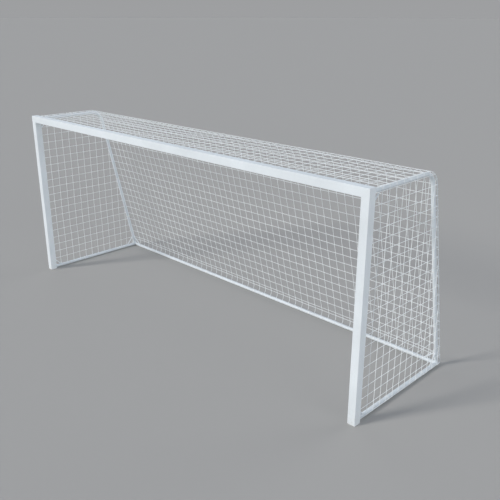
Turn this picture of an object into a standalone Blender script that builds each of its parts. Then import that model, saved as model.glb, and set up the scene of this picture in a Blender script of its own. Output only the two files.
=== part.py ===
"""Free-standing small-pitch soccer goal, 5 m by 2 m, with its net.

A mitred frame of hollow square profile carries, on its rear faces, two bent net stays and
two ground bars of round tube. The tubes meet a rear ground bar in two cast corners, short
rods brace the corners, and the net hangs from hooks in the profile's rear slot and from
snap-on clips on the tubes.

Metres, +Z up. The mouth faces -Y and +X is to the right seen from the front. The origin
is on the ground, under the middle of the goal.
"""
import math

import bmesh
import bpy
from mathutils import Matrix, Vector

# Goal mouth and depth
MOUTH_WIDTH = 5.000
MOUTH_HEIGHT = 2.000
TOP_DEPTH = 0.974
BASE_DEPTH = 1.418

# Square profile of the posts and the crossbar, with a hook slot in its rear face
PROFILE = 0.080
PROFILE_WALL = 0.003
PROFILE_EDGE_RADIUS = 0.005
EDGE_STEPS = 3
SLOT_WIDTH = 0.010
SLOT_LIP = 0.0025
SLOT_CAVITY_WIDTH = 0.017
SLOT_CAVITY_DEPTH = 0.008
SLOT_WALL = 0.0025

# Round tube of the stays and the ground bars
TUBE_DIAMETER = 0.040
TUBE_WALL = 0.0025
STAY_BEND_RADIUS = 0.150
STAY_BEND_STEPS = 8
TUBE_SIDES = 24

# Clearances
SEAT_GAP = 0.0003
SLIDE_GAP = 0.0004

# Spigots that hold the tubes on the frame
FLANGE_THICKNESS = 0.004
SPIGOT_LENGTH = 0.060
BOLT_DIAMETER = 0.008
BOLT_HOLE_DEPTH = 0.045
BOLT_LENGTH = 0.040
BOLT_HEAD_WIDTH = 0.014
BOLT_HEAD_THICKNESS = 0.005
BOLT_SIDES = 12

# Cast rear corners
CORNER_BALL_RADIUS = 0.023
COLLAR_LENGTH = 0.045
CORNER_SPIGOT_LENGTH = 0.050
BALL_SEGMENTS = 20
BALL_RINGS = 12
GROUND_LAND = 0.0002

# Cast connectors inside the mitred corners, and their screws
CONNECTOR_ARM = 0.180
CONNECTOR_RIM = 0.005
CONNECTOR_WEB = 0.008
SCREW_DIAMETER = 0.006
SCREW_HOLE_CLEARANCE = 0.0004
SCREW_LENGTH = 0.022
SCREW_HEAD_DIAMETER = 0.012
SCREW_HEAD_HEIGHT = 0.0026
SCREW_FROM_CORNER = 0.120
SCREW_FROM_SLOT = 0.024

# Foot caps
FOOT_PLATE = 0.004
FOOT_PLUG_HEIGHT = 0.026
FOOT_PLUG_WALL = 0.004

# Corner bracing rods
BRACE_DIAMETER = 0.012
BRACE_SIDES = 16
REAR_BRACE_LEG = 0.145
FOOT_BRACE_LEG = 0.100
TOP_BRACE_LEG = 0.130

# Net
NET_OFFSET = 0.0265
NET_FROM_POST = 0.0055
NET_BASE_HEIGHT = 0.025
CORD_THICKNESS = 0.004
CORD_PITCH = 0.300
NET_BEND_STEPS = 3

# Net hooks in the slot, and net clips on the tubes
HOOK_WIDTH = 0.010
HOOK_THICKNESS = 0.002
HOOK_FOOT_THICKNESS = 0.006
HOOK_SLOT_CLEARANCE = 0.0006
HOOK_SEATING = 0.0004
HOOK_ARC_STEPS = 4
HOOK_ARC_TURN = math.radians(200)
CLIP_WIDTH = 0.012
CLIP_THICKNESS = 0.002
CLIP_STEP = math.radians(30)
GROUND_CLIP_END = math.radians(195)
STAY_CLIP_END = math.radians(285)
CLIP_LOOP_TURN = math.radians(215)
REAR_CLIP_CELLS = 3
GROUND_CLIP_CELLS = (1, 3)
UPPER_CLIP_CELL = 1
STAY_CLIP_CELLS = (1, 3, 5)

# Places that follow from the dimensions above
TUBE_RADIUS = TUBE_DIAMETER / 2
TUBE_BORE_RADIUS = TUBE_RADIUS - TUBE_WALL
SPIGOT_RADIUS = TUBE_BORE_RADIUS - SLIDE_GAP
CORD_HALF = CORD_THICKNESS / 2
CORD_CORNER = CORD_HALF * math.sqrt(2)
LACED_GAP = CORD_THICKNESS + SEAT_GAP
POST_X = MOUTH_WIDTH / 2 + PROFILE / 2
BAR_HEIGHT = MOUTH_HEIGHT + PROFILE / 2
SLOT_DEPTH = SLOT_LIP + SLOT_CAVITY_DEPTH
SLOT_BACK = SLOT_DEPTH + SLOT_WALL
CLIP_LOOP_RADIUS = (CORD_CORNER + SEAT_GAP + CLIP_THICKNESS / 2) / math.cos(CLIP_STEP / 2)
CLIP_REACH = NET_OFFSET + CLIP_LOOP_RADIUS + CLIP_THICKNESS / 2
DEPTH = BASE_DEPTH + CLIP_REACH
FRONT_Y = -DEPTH / 2
REAR_FACE_Y = FRONT_Y + PROFILE
GROUND_AXIS = TUBE_RADIUS
TUBE_START_Y = REAR_FACE_Y + FLANGE_THICKNESS + 2 * SEAT_GAP
NET_FRONT_Y = REAR_FACE_Y + NET_FROM_POST
SIDES = (("left", -1), ("right", 1))

WHITE_PAINT = (0.80, 0.82, 0.83)
WHITE_PLASTIC = (0.78, 0.80, 0.80)
WHITE_CORD = (0.82, 0.84, 0.83)
BARE_ALUMINIUM = (0.62, 0.63, 0.64)
ZINC_STEEL = (0.55, 0.56, 0.58)


def corner_point(side):
    """Where the axes of the stay, the side bar and the rear bar meet."""
    return Vector((side * POST_X, FRONT_Y + BASE_DEPTH, GROUND_AXIS))


def stay_corner(side):
    """Where the two straight runs of the stay would meet without the bend."""
    return Vector((side * POST_X, FRONT_Y + TOP_DEPTH, BAR_HEIGHT))


def stay_direction(side):
    """Unit vector up the rear run of the stay."""
    return (stay_corner(side) - corner_point(side)).normalized()


def make_material(name, colour, roughness, metallic):
    material = bpy.data.materials.new(name)
    material.use_nodes = True
    shader = material.node_tree.nodes["Principled BSDF"]
    shader.inputs["Base Color"].default_value = (*colour, 1.0)
    shader.inputs["Roughness"].default_value = roughness
    shader.inputs["Metallic"].default_value = metallic
    return material


def add_object(name, bm, finish, smooth_angle=math.radians(35)):
    """Turn a bmesh into a named object with its own material."""
    bmesh.ops.recalc_face_normals(bm, faces=bm.faces)
    mesh = bpy.data.meshes.new(name)
    bm.to_mesh(mesh)
    bm.free()
    mesh.shade_smooth()
    mesh.set_sharp_from_angle(angle=smooth_angle)
    colour, roughness, metallic = finish
    mesh.materials.append(make_material(name, colour, roughness, metallic))
    obj = bpy.data.objects.new(name, mesh)
    bpy.context.scene.collection.objects.link(obj)
    return obj


PAINT = (WHITE_PAINT, 0.35, 0.0)
PLASTIC = (WHITE_PLASTIC, 0.5, 0.0)
CORD = (WHITE_CORD, 0.8, 0.0)
ALUMINIUM = (BARE_ALUMINIUM, 0.4, 1.0)
ZINC = (ZINC_STEEL, 0.35, 1.0)


def cut(obj, cutter, operation="DIFFERENCE"):
    """Add a Boolean with a hidden cutter."""
    cutter.hide_render = True
    cutter.display_type = "WIRE"
    modifier = obj.modifiers.new(cutter.name, "BOOLEAN")
    modifier.operation = operation
    modifier.solver = "EXACT"
    modifier.object = cutter


def axis_frame(origin, direction):
    """Matrix that lays local +Z along a direction."""
    turn = Vector(direction).to_track_quat("Z", "Y").to_matrix().to_4x4()
    return Matrix.Translation(origin) @ turn


def loop_edges(bm, points):
    """Closed ring of edges through 2-D points, in the plane z = 0."""
    verts = [bm.verts.new((u, w, 0.0)) for u, w in points]
    return [bm.edges.new((verts[i - 1], verts[i])) for i in range(len(verts))]


def prism(loops, height):
    """Fill closed loops, the inner ones as holes, and extrude the face along +Z."""
    bm = bmesh.new()
    edges = []
    for points in loops:
        edges += loop_edges(bm, points)
    bmesh.ops.triangle_fill(bm, use_beauty=True, edges=edges, normal=(0, 0, 1))
    result = bmesh.ops.extrude_face_region(bm, geom=bm.faces[:])
    top = [item for item in result["geom"] if isinstance(item, bmesh.types.BMVert)]
    bmesh.ops.translate(bm, verts=top, vec=(0, 0, height))
    return bm, top


def box(name, low, high, finish=PAINT):
    """Axis-aligned block between two corners."""
    bm = bmesh.new()
    middle = (Vector(low) + Vector(high)) / 2
    size = Vector(high) - Vector(low)
    bmesh.ops.create_cube(bm, size=1.0, matrix=Matrix.Translation(middle) @ Matrix.Diagonal((*size, 1.0)))
    return add_object(name, bm, finish)


def lathe(outline, sides):
    """Turn an outline of (radius, height) points round local Z into a closed body."""
    bm = bmesh.new()
    verts = [bm.verts.new((radius, 0.0, height)) for radius, height in outline]
    edges = [bm.edges.new(pair) for pair in zip(verts, verts[1:])]
    bmesh.ops.spin(bm, geom=verts + edges, cent=(0, 0, 0), axis=(0, 0, 1),
                   angle=math.tau, steps=sides, use_duplicate=False)
    bmesh.ops.remove_doubles(bm, verts=bm.verts, dist=1e-6)
    return bm


def round_rect(half, low, high, radius):
    """Square outline with rounded corners, from low to high in the second axis."""
    centres = ((half - radius, high - radius), (half - radius, low + radius),
               (radius - half, low + radius), (radius - half, high - radius))
    points = []
    for index, (u, w) in enumerate(centres):
        for step in range(EDGE_STEPS + 1):
            angle = math.pi / 2 * (1 - index - step / EDGE_STEPS)
            points.append((u + radius * math.cos(angle), w + radius * math.sin(angle)))
    return points


def profile_outer():
    """Outer outline of the profile: local y = 0 is its rear face, the slot opens there."""
    outline = round_rect(PROFILE / 2, -PROFILE, 0.0, PROFILE_EDGE_RADIUS)
    mouth = SLOT_WIDTH / 2
    cavity = SLOT_CAVITY_WIDTH / 2
    slot = [(-mouth, 0.0), (-mouth, -SLOT_LIP), (-cavity, -SLOT_LIP), (-cavity, -SLOT_DEPTH),
            (cavity, -SLOT_DEPTH), (cavity, -SLOT_LIP), (mouth, -SLOT_LIP), (mouth, 0.0)]
    return outline + slot


def profile_inner():
    """Hollow of the profile, which steps round the slot."""
    half = PROFILE / 2 - PROFILE_WALL
    front = PROFILE_WALL - PROFILE
    bump = SLOT_CAVITY_WIDTH / 2 + SLOT_WALL
    return [(half, -PROFILE_WALL), (half, front), (-half, front), (-half, -PROFILE_WALL),
            (-bump, -PROFILE_WALL), (-bump, -SLOT_BACK), (bump, -SLOT_BACK), (bump, -PROFILE_WALL)]


def profile_length(low_end, high_end):
    """Extruded profile whose two ends are planes: each end gives z from local x."""
    bm, top = prism([profile_outer(), profile_inner()], 1.0)
    tops = set(top)
    for vert in bm.verts:
        end = high_end if vert in tops else low_end
        vert.co.z = end(vert.co.x)
    return bm


MITRE_SETBACK = SEAT_GAP / math.sqrt(2)


def build_posts():
    for label, side in SIDES:
        bm = profile_length(lambda u: FOOT_PLATE + SEAT_GAP,
                            lambda u, s=side: BAR_HEIGHT + s * u - MITRE_SETBACK)
        post = add_object(label + "_post", bm, PAINT)
        post.location = (side * POST_X, REAR_FACE_Y, 0.0)


def build_crossbar():
    bm = profile_length(lambda u: -(POST_X + u - MITRE_SETBACK),
                        lambda u: POST_X + u - MITRE_SETBACK)
    crossbar = add_object("crossbar", bm, PAINT)
    crossbar.location = (0.0, REAR_FACE_Y, BAR_HEIGHT)
    crossbar.rotation_euler = (0.0, -math.pi / 2, 0.0)


def build_foot_caps():
    half = PROFILE / 2
    plug_half = half - PROFILE_WALL - SLIDE_GAP
    plug_front = PROFILE_WALL + SLIDE_GAP - PROFILE
    plug_rear = -(SLOT_BACK + SLIDE_GAP)
    for label, side in SIDES:
        place = (side * POST_X, REAR_FACE_Y, 0.0)
        bm, _ = prism([round_rect(half, -PROFILE, 0.0, PROFILE_EDGE_RADIUS)], FOOT_PLATE)
        cap = add_object(label + "_foot_cap", bm, PLASTIC)
        cap.location = place
        plug = box(label + "_foot_plug_form", (-plug_half, plug_front, FOOT_PLATE / 2),
                   (plug_half, plug_rear, FOOT_PLATE + FOOT_PLUG_HEIGHT))
        hollow = box(label + "_foot_hollow_form",
                     (FOOT_PLUG_WALL - plug_half, plug_front + FOOT_PLUG_WALL, FOOT_PLATE),
                     (plug_half - FOOT_PLUG_WALL, plug_rear - FOOT_PLUG_WALL, 2 * FOOT_PLUG_HEIGHT))
        plug.location = place
        hollow.location = place
        cut(cap, plug, "UNION")
        cut(cap, hollow)


def screw_places(side):
    """Screw centres (x, z) of one corner: a pair in the post and a pair in the crossbar."""
    places = []
    for offset in (-SCREW_FROM_SLOT, SCREW_FROM_SLOT):
        places.append((side * POST_X + offset, BAR_HEIGHT - SCREW_FROM_CORNER))
        places.append((side * (POST_X - SCREW_FROM_CORNER), BAR_HEIGHT + offset))
    return places


def connector_body(side):
    """L-shaped casting that fills both mitred ends, open to the front."""
    reach = PROFILE / 2 - PROFILE_WALL - SLIDE_GAP
    outline = [(reach, reach), (-CONNECTOR_ARM, reach), (-CONNECTOR_ARM, -reach),
               (-reach, -reach), (-reach, -CONNECTOR_ARM), (reach, -CONNECTOR_ARM)]
    depth = PROFILE - PROFILE_WALL - SLOT_BACK - 2 * SLIDE_GAP
    bm = bmesh.new()
    verts = [bm.verts.new((side * x, 0.0, z)) for x, z in outline]
    face = bm.faces.new(verts)
    result = bmesh.ops.extrude_face_region(bm, geom=[face])
    moved = [item for item in result["geom"] if isinstance(item, bmesh.types.BMVert)]
    bmesh.ops.translate(bm, verts=moved, vec=(0.0, -depth, 0.0))
    bmesh.ops.recalc_face_normals(bm, faces=bm.faces)
    front = min(bm.faces, key=lambda item: item.calc_center_median().y)
    bmesh.ops.inset_region(bm, faces=[front], thickness=CONNECTOR_RIM, use_even_offset=True)
    result = bmesh.ops.extrude_face_region(bm, geom=[front])
    moved = [item for item in result["geom"] if isinstance(item, bmesh.types.BMVert)]
    bmesh.ops.translate(bm, verts=moved, vec=(0.0, depth - CONNECTOR_WEB, 0.0))
    for leftover in [item for item in bm.faces if item == front]:
        bm.faces.remove(leftover)
    return bm


def build_corner_connectors():
    for label, side in SIDES:
        connector = add_object(label + "_corner_connector", connector_body(side), ALUMINIUM)
        connector.location = (side * POST_X, REAR_FACE_Y - SLOT_BACK - SLIDE_GAP, BAR_HEIGHT)


def screw_hole_cutters(label, side):
    """One cylinder for each screw, through the rear wall and the connector's web."""
    bm = bmesh.new()
    radius = SCREW_DIAMETER / 2 + SCREW_HOLE_CLEARANCE
    length = SCREW_LENGTH * 2
    for x, z in screw_places(side):
        bmesh.ops.create_cone(bm, cap_ends=True, segments=BOLT_SIDES, radius1=radius, radius2=radius,
                              depth=length, matrix=axis_frame((x, REAR_FACE_Y, z), (0, 1, 0)))
    return add_object(label + "_screw_hole_form", bm, ZINC)


def drill_screw_holes():
    for label, side in SIDES:
        cutter = screw_hole_cutters(label, side)
        for name in (label + "_post", "crossbar", label + "_corner_connector"):
            cut(bpy.data.objects[name], cutter)


def merge_body(bm, part, matrix):
    """Copy a closed body into a group."""
    mesh = bpy.data.meshes.new("body")
    part.transform(matrix)
    part.to_mesh(mesh)
    part.free()
    bm.from_mesh(mesh)
    bpy.data.meshes.remove(mesh)


def add_copies(bm, finish, places):
    """One object for each (name, matrix), all sharing the first one's mesh."""
    mesh = None
    for name, matrix in places:
        if mesh is None:
            obj = add_object(name, bm, finish)
            mesh = obj.data
        else:
            obj = bpy.data.objects.new(name, mesh)
            bpy.context.scene.collection.objects.link(obj)
        obj.matrix_world = matrix


def build_connector_screws():
    shank = SCREW_DIAMETER / 2
    head = SCREW_HEAD_DIAMETER / 2
    outline = [(0.0, -SCREW_LENGTH), (shank, -SCREW_LENGTH), (shank, 0.0), (head, 0.0),
               (head, SCREW_HEAD_HEIGHT * 0.4), (shank, SCREW_HEAD_HEIGHT), (0.0, SCREW_HEAD_HEIGHT)]
    places = []
    for label, side in SIDES:
        for index, (x, z) in enumerate(screw_places(side)):
            name = label + "_connector_screw_" + str(index + 1)
            places.append((name, axis_frame((x, REAR_FACE_Y + SEAT_GAP, z), (0, 1, 0))))
    add_copies(lathe(outline, BOLT_SIDES), ZINC, places)


def spigot_places(side):
    """Axis points, on the rear face, of the upper stay and of the ground bar."""
    return {"stay": Vector((side * POST_X, REAR_FACE_Y, BAR_HEIGHT)),
            "bar": Vector((side * POST_X, REAR_FACE_Y, GROUND_AXIS))}


def build_spigots():
    hole = BOLT_DIAMETER / 2 + SLIDE_GAP
    tip = FLANGE_THICKNESS + SPIGOT_LENGTH
    outline = [(0.0, BOLT_HOLE_DEPTH), (hole, BOLT_HOLE_DEPTH), (hole, 0.0), (TUBE_RADIUS, 0.0),
               (TUBE_RADIUS, FLANGE_THICKNESS), (SPIGOT_RADIUS, FLANGE_THICKNESS),
               (SPIGOT_RADIUS, tip), (0.0, tip)]
    for label, side in SIDES:
        for kind, place in spigot_places(side).items():
            bm = lathe(outline, TUBE_SIDES)
            spigot = add_object(label + "_" + kind + "_spigot", bm, PAINT)
            spigot.matrix_world = axis_frame(place + Vector((0, SEAT_GAP, 0)), (0, 1, 0))


def slot_bolt():
    """Bolt along +Z whose square head sits in the slot, under the lips at z = 0."""
    half = BOLT_HEAD_WIDTH / 2
    radius = BOLT_DIAMETER / 2
    under = -(SLOT_LIP + SEAT_GAP)
    bm = bmesh.new()
    middle = Matrix.Translation((0, 0, under - BOLT_HEAD_THICKNESS / 2))
    bmesh.ops.create_cube(bm, size=1.0, matrix=middle @ Matrix.Diagonal((2 * half, 2 * half, BOLT_HEAD_THICKNESS, 1)))
    top = max(bm.faces, key=lambda item: item.calc_center_median().z)
    edges = list(top.edges)
    bm.faces.remove(top)
    ring = bmesh.ops.create_circle(bm, cap_ends=False, segments=BOLT_SIDES, radius=radius,
                                   matrix=Matrix.Translation((0, 0, under)))["verts"]
    ring_edges = list({edge for vert in ring for edge in vert.link_edges})
    bmesh.ops.triangle_fill(bm, use_beauty=True, edges=edges + ring_edges, normal=(0, 0, 1))
    result = bmesh.ops.extrude_edge_only(bm, edges=ring_edges)
    rim = [item for item in result["geom"] if isinstance(item, bmesh.types.BMVert)]
    rim_edges = [item for item in result["geom"] if isinstance(item, bmesh.types.BMEdge)]
    bmesh.ops.translate(bm, verts=rim, vec=(0, 0, BOLT_LENGTH))
    bmesh.ops.holes_fill(bm, edges=rim_edges)
    return bm


def build_slot_bolts():
    places = []
    for label, side in SIDES:
        for kind, place in spigot_places(side).items():
            places.append((label + "_" + kind + "_slot_bolt", axis_frame(place, (0, 1, 0))))
    add_copies(slot_bolt(), ZINC, places)


def pipe(corners, bend_radius=0.0, bend_steps=1):
    """Hollow tube along straight runs with round bends, open at both ends."""
    bm = bmesh.new()
    heading = (corners[1] - corners[0]).normalized()
    here = corners[0]
    edges = []
    for radius in (TUBE_RADIUS, TUBE_BORE_RADIUS):
        ring = bmesh.ops.create_circle(bm, cap_ends=False, segments=TUBE_SIDES, radius=radius,
                                       matrix=axis_frame(here, heading))["verts"]
        edges += list({edge for vert in ring for edge in vert.link_edges})
    bmesh.ops.triangle_fill(bm, use_beauty=True, edges=edges, normal=heading)
    for index in range(1, len(corners)):
        target = corners[index]
        turn = 0.0
        if index + 1 < len(corners):
            onward = (corners[index + 1] - target).normalized()
            turn = heading.angle(onward)
            target = target - heading * bend_radius * math.tan(turn / 2)
        result = bmesh.ops.extrude_edge_only(bm, edges=edges)
        verts = [item for item in result["geom"] if isinstance(item, bmesh.types.BMVert)]
        edges = [item for item in result["geom"] if isinstance(item, bmesh.types.BMEdge)]
        bmesh.ops.translate(bm, verts=verts, vec=target - here)
        here = target
        if turn:
            axis = heading.cross(onward).normalized()
            centre = here + axis.cross(heading) * bend_radius
            result = bmesh.ops.spin(bm, geom=verts + edges, cent=centre, axis=axis, angle=turn,
                                    steps=bend_steps, use_duplicate=False)
            edges = [item for item in result["geom_last"] if isinstance(item, bmesh.types.BMEdge)]
            here = centre + Matrix.Rotation(turn, 3, axis) @ (here - centre)
            heading = onward
    bmesh.ops.triangle_fill(bm, use_beauty=True, edges=edges, normal=heading)
    return bm


def build_tubes():
    joint = COLLAR_LENGTH + SEAT_GAP
    for label, side in SIDES:
        corner = corner_point(side)
        upper = Vector((side * POST_X, TUBE_START_Y, BAR_HEIGHT))
        lower = Vector((side * POST_X, TUBE_START_Y, GROUND_AXIS))
        foot = corner + stay_direction(side) * joint
        stay = pipe([upper, stay_corner(side), foot], STAY_BEND_RADIUS, STAY_BEND_STEPS)
        add_object(label + "_net_stay", stay, PAINT)
        add_object(label + "_ground_bar", pipe([lower, corner - Vector((0, joint, 0))]), PAINT)
    left = corner_point(-1) + Vector((joint, 0, 0))
    right = corner_point(1) - Vector((joint, 0, 0))
    add_object("rear_ground_bar", pipe([left, right]), PAINT)


def ground_ball():
    """Ball with a small flat cut just above the ground."""
    bm = bmesh.new()
    bmesh.ops.create_uvsphere(bm, u_segments=BALL_SEGMENTS, v_segments=BALL_RINGS, radius=CORNER_BALL_RADIUS)
    height = GROUND_LAND - GROUND_AXIS
    result = bmesh.ops.bisect_plane(bm, geom=bm.verts[:] + bm.edges[:] + bm.faces[:],
                                    plane_co=(0, 0, height), plane_no=(0, 0, 1), clear_inner=True)
    edges = [item for item in result["geom_cut"] if isinstance(item, bmesh.types.BMEdge)]
    bmesh.ops.holes_fill(bm, edges=edges)
    return bm


def build_rear_corners():
    tip = COLLAR_LENGTH + CORNER_SPIGOT_LENGTH
    root = TUBE_RADIUS - CORNER_BALL_RADIUS
    outline = [(0.0, root), (TUBE_RADIUS, root), (TUBE_RADIUS, COLLAR_LENGTH),
               (SPIGOT_RADIUS, COLLAR_LENGTH), (SPIGOT_RADIUS, tip), (0.0, tip)]
    for label, side in SIDES:
        corner = corner_point(side)
        body = add_object(label + "_rear_corner", ground_ball(), PAINT)
        body.location = corner
        arms = {"bar": Vector((0, -1, 0)), "rear": Vector((-side, 0, 0)), "stay": stay_direction(side)}
        for kind, direction in arms.items():
            arm = add_object(label + "_corner_" + kind + "_form", lathe(outline, TUBE_SIDES), PAINT)
            arm.matrix_world = axis_frame(corner, direction)
            cut(body, arm, "UNION")


def to_plane(point, normal):
    """Seat on a flat face: signed travel from a point along a direction to the face."""
    def travel(start, direction):
        return (Vector(point) - start).dot(normal) / direction.dot(normal)
    return travel


def to_tube(point, axis):
    """Seat on a tube: travel from a point along a direction to the tube's skin."""
    unit = Vector(axis).normalized()
    skin = TUBE_RADIUS + SLIDE_GAP

    def travel(start, direction):
        offset = start - Vector(point)
        offset = offset - unit * offset.dot(unit)
        across = direction - unit * direction.dot(unit)
        half_b = offset.dot(across) / across.length_squared
        rest = (offset.length_squared - skin ** 2) / across.length_squared
        return -half_b - math.sqrt(half_b ** 2 - rest)
    return travel


def rod(start, end, start_seat, end_seat):
    """Solid rod whose two ends are coped to their seats."""
    bm = bmesh.new()
    middle = (start + end) / 2
    direction = (end - start).normalized()
    frame = axis_frame(middle, direction)
    radius = BRACE_DIAMETER / 2
    rings = []
    for seat, heading in ((start_seat, -direction), (end_seat, direction)):
        ring = []
        for index in range(BRACE_SIDES):
            angle = math.tau * index / BRACE_SIDES
            point = frame @ Vector((radius * math.cos(angle), radius * math.sin(angle), 0.0))
            ring.append(bm.verts.new(point + heading * seat(point, heading)))
        hub = bm.verts.new(middle + heading * seat(middle, heading))
        for index in range(BRACE_SIDES):
            bm.faces.new((hub, ring[index - 1], ring[index]))
        rings.append(ring)
    for index in range(BRACE_SIDES):
        bm.faces.new((rings[0][index - 1], rings[0][index], rings[1][index], rings[1][index - 1]))
    return bm


def build_braces():
    face = to_plane((0, REAR_FACE_Y + SEAT_GAP, 0), Vector((0, 1, 0)))
    for label, side in SIDES:
        x = side * POST_X
        corner = corner_point(side)
        up = stay_direction(side)
        bar_seat = to_tube(corner, (0, 1, 0))
        stay_seat = to_tube(corner, up)
        rear_seat = to_tube(corner, (1, 0, 0))
        upper_seat = to_tube(stay_corner(side), (0, 1, 0))
        on_stay = corner + up * REAR_BRACE_LEG
        rods = {
            "foot_brace": (Vector((x, REAR_FACE_Y, GROUND_AXIS + FOOT_BRACE_LEG)),
                           Vector((x, REAR_FACE_Y + FOOT_BRACE_LEG, GROUND_AXIS)), face, bar_seat),
            "top_brace": (Vector((x, REAR_FACE_Y, BAR_HEIGHT - TOP_BRACE_LEG)),
                          Vector((x, REAR_FACE_Y + TOP_BRACE_LEG, BAR_HEIGHT)), face, upper_seat),
            "side_brace": (on_stay, corner - Vector((0, REAR_BRACE_LEG, 0)), stay_seat, bar_seat),
            "rear_brace": (on_stay, corner - Vector((side * REAR_BRACE_LEG, 0, 0)), stay_seat, rear_seat),
        }
        for kind, (start, end, start_seat, end_seat) in rods.items():
            add_object(label + "_" + kind, rod(start, end, start_seat, end_seat), PAINT)


def hook_outline():
    """Hook seen along its cord: foot in the slot, arm on the face, hook round the cord."""
    neck = SLOT_WIDTH / 2 - HOOK_SLOT_CLEARANCE
    foot = SLOT_CAVITY_WIDTH / 2 - HOOK_SLOT_CLEARANCE
    lip = -(SLOT_LIP - HOOK_SEATING)
    inner = CORD_CORNER + SEAT_GAP
    outer = inner + HOOK_THICKNESS
    arm_low = SEAT_GAP
    arm_high = SEAT_GAP + HOOK_THICKNESS
    outline = [(-neck, arm_high), (-neck, lip), (-foot, lip), (-foot, lip - HOOK_FOOT_THICKNESS),
               (foot, lip - HOOK_FOOT_THICKNESS), (foot, lip), (neck, lip), (neck, arm_low)]
    steps = range(HOOK_ARC_STEPS + 1)
    turns = [HOOK_ARC_TURN * step / HOOK_ARC_STEPS - math.pi / 2 for step in steps]
    stretch = 1 / math.cos(HOOK_ARC_TURN / HOOK_ARC_STEPS / 2)
    centre = NET_FROM_POST
    outline += [(NET_OFFSET + outer * math.cos(turn) * stretch,
                 max(arm_low, centre + outer * math.sin(turn) * stretch)) for turn in turns]
    outline += [(NET_OFFSET + inner * math.cos(turn) * stretch,
                 centre + inner * math.sin(turn) * stretch) for turn in reversed(turns)]
    return outline


def hook_body():
    """One hook, centred on its width."""
    bm, _ = prism([hook_outline()], HOOK_WIDTH)
    bmesh.ops.translate(bm, verts=bm.verts, vec=(0, 0, -HOOK_WIDTH / 2))
    return bm


def cell_middle(first, index):
    """Middle of a net cell, so that what holds the border cord clears the crossing cords."""
    return first + CORD_PITCH * (index + 0.5)


def across(limit, pitch):
    """Places a pitch apart, to both sides of the middle, as far as a limit."""
    count = math.floor(limit / pitch)
    return [pitch * index for index in range(-count, count + 1)]


def fit_hooks():
    """Clench the net hooks in the slots of the posts and the crossbar."""
    group = bmesh.new()
    upright = Matrix(((0, 0, -1, 0), (0, 1, 0, 0), (1, 0, 0, 0), (0, 0, 0, 1)))
    for x in across(MOUTH_WIDTH / 2, CORD_PITCH):
        merge_body(group, hook_body(), Matrix.Translation((x, REAR_FACE_Y, BAR_HEIGHT)) @ upright)
    cut(bpy.data.objects["crossbar"], add_object("crossbar_net_hooks", group, PLASTIC), "UNION")
    for label, side in SIDES:
        group = bmesh.new()
        for index in range(1, math.floor((MOUTH_HEIGHT - NET_BASE_HEIGHT) / CORD_PITCH)):
            height = cell_middle(NET_BASE_HEIGHT, index)
            body = hook_body()
            bmesh.ops.scale(body, verts=body.verts, vec=(side, 1, 1))
            merge_body(group, body, Matrix.Translation((side * POST_X, REAR_FACE_Y, height)))
        cut(bpy.data.objects[label + "_post"], add_object(label + "_post_net_hooks", group, PLASTIC), "UNION")


def clip_path(cord_u, cord_v, loop_radius, wrap_end):
    """Middle line of a snap-on clip: round the tube, across, and round the cord."""
    ring_radius = (TUBE_RADIUS + SEAT_GAP) / math.cos(CLIP_STEP / 2) + CLIP_THICKNESS / 2
    distance = math.hypot(cord_u, cord_v)
    leave = math.atan2(cord_v, cord_u) + math.acos((ring_radius - loop_radius) / distance)
    ring_steps = math.ceil((wrap_end - leave) / CLIP_STEP)
    loop_steps = math.ceil(CLIP_LOOP_TURN / CLIP_STEP)
    points = []
    for step in range(ring_steps + 1):
        angle = wrap_end + (leave - wrap_end) * step / ring_steps
        points.append((ring_radius * math.cos(angle), ring_radius * math.sin(angle)))
    for step in range(loop_steps + 1):
        angle = leave - CLIP_LOOP_TURN * step / loop_steps
        points.append((cord_u + loop_radius * math.cos(angle), cord_v + loop_radius * math.sin(angle)))
    return points


def ribbon(points, thickness, width):
    """Flat strip bent along a line in the local XY plane, centred on z = 0."""
    count = len(points)
    sides = ([], [])
    for index, (u, v) in enumerate(points):
        before = Vector(points[max(index - 1, 0)])
        after = Vector(points[min(index + 1, count - 1)])
        here = Vector((u, v))
        ways = [(here - before).normalized(), (after - here).normalized()]
        if index == 0:
            ways[0] = ways[1]
        if index == count - 1:
            ways[1] = ways[0]
        along = (ways[0] + ways[1]).normalized()
        reach = thickness / 2 / along.dot(ways[0])
        across = Vector((-along.y, along.x)) * reach
        sides[0].append(tuple(here + across))
        sides[1].append(tuple(here - across))
    bm, _ = prism([sides[0] + sides[1][::-1]], width)
    bmesh.ops.translate(bm, verts=bm.verts, vec=(0, 0, -width / 2))
    return bm


def clip_frame(origin, outward, upward):
    """Matrix that sends local X outward, local Y upward and local Z along the tube."""
    x = Vector(outward).normalized()
    y = Vector(upward).normalized()
    z = x.cross(y)
    turn = Matrix((x, y, z)).transposed().to_4x4()
    return Matrix.Translation(origin) @ turn


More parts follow.
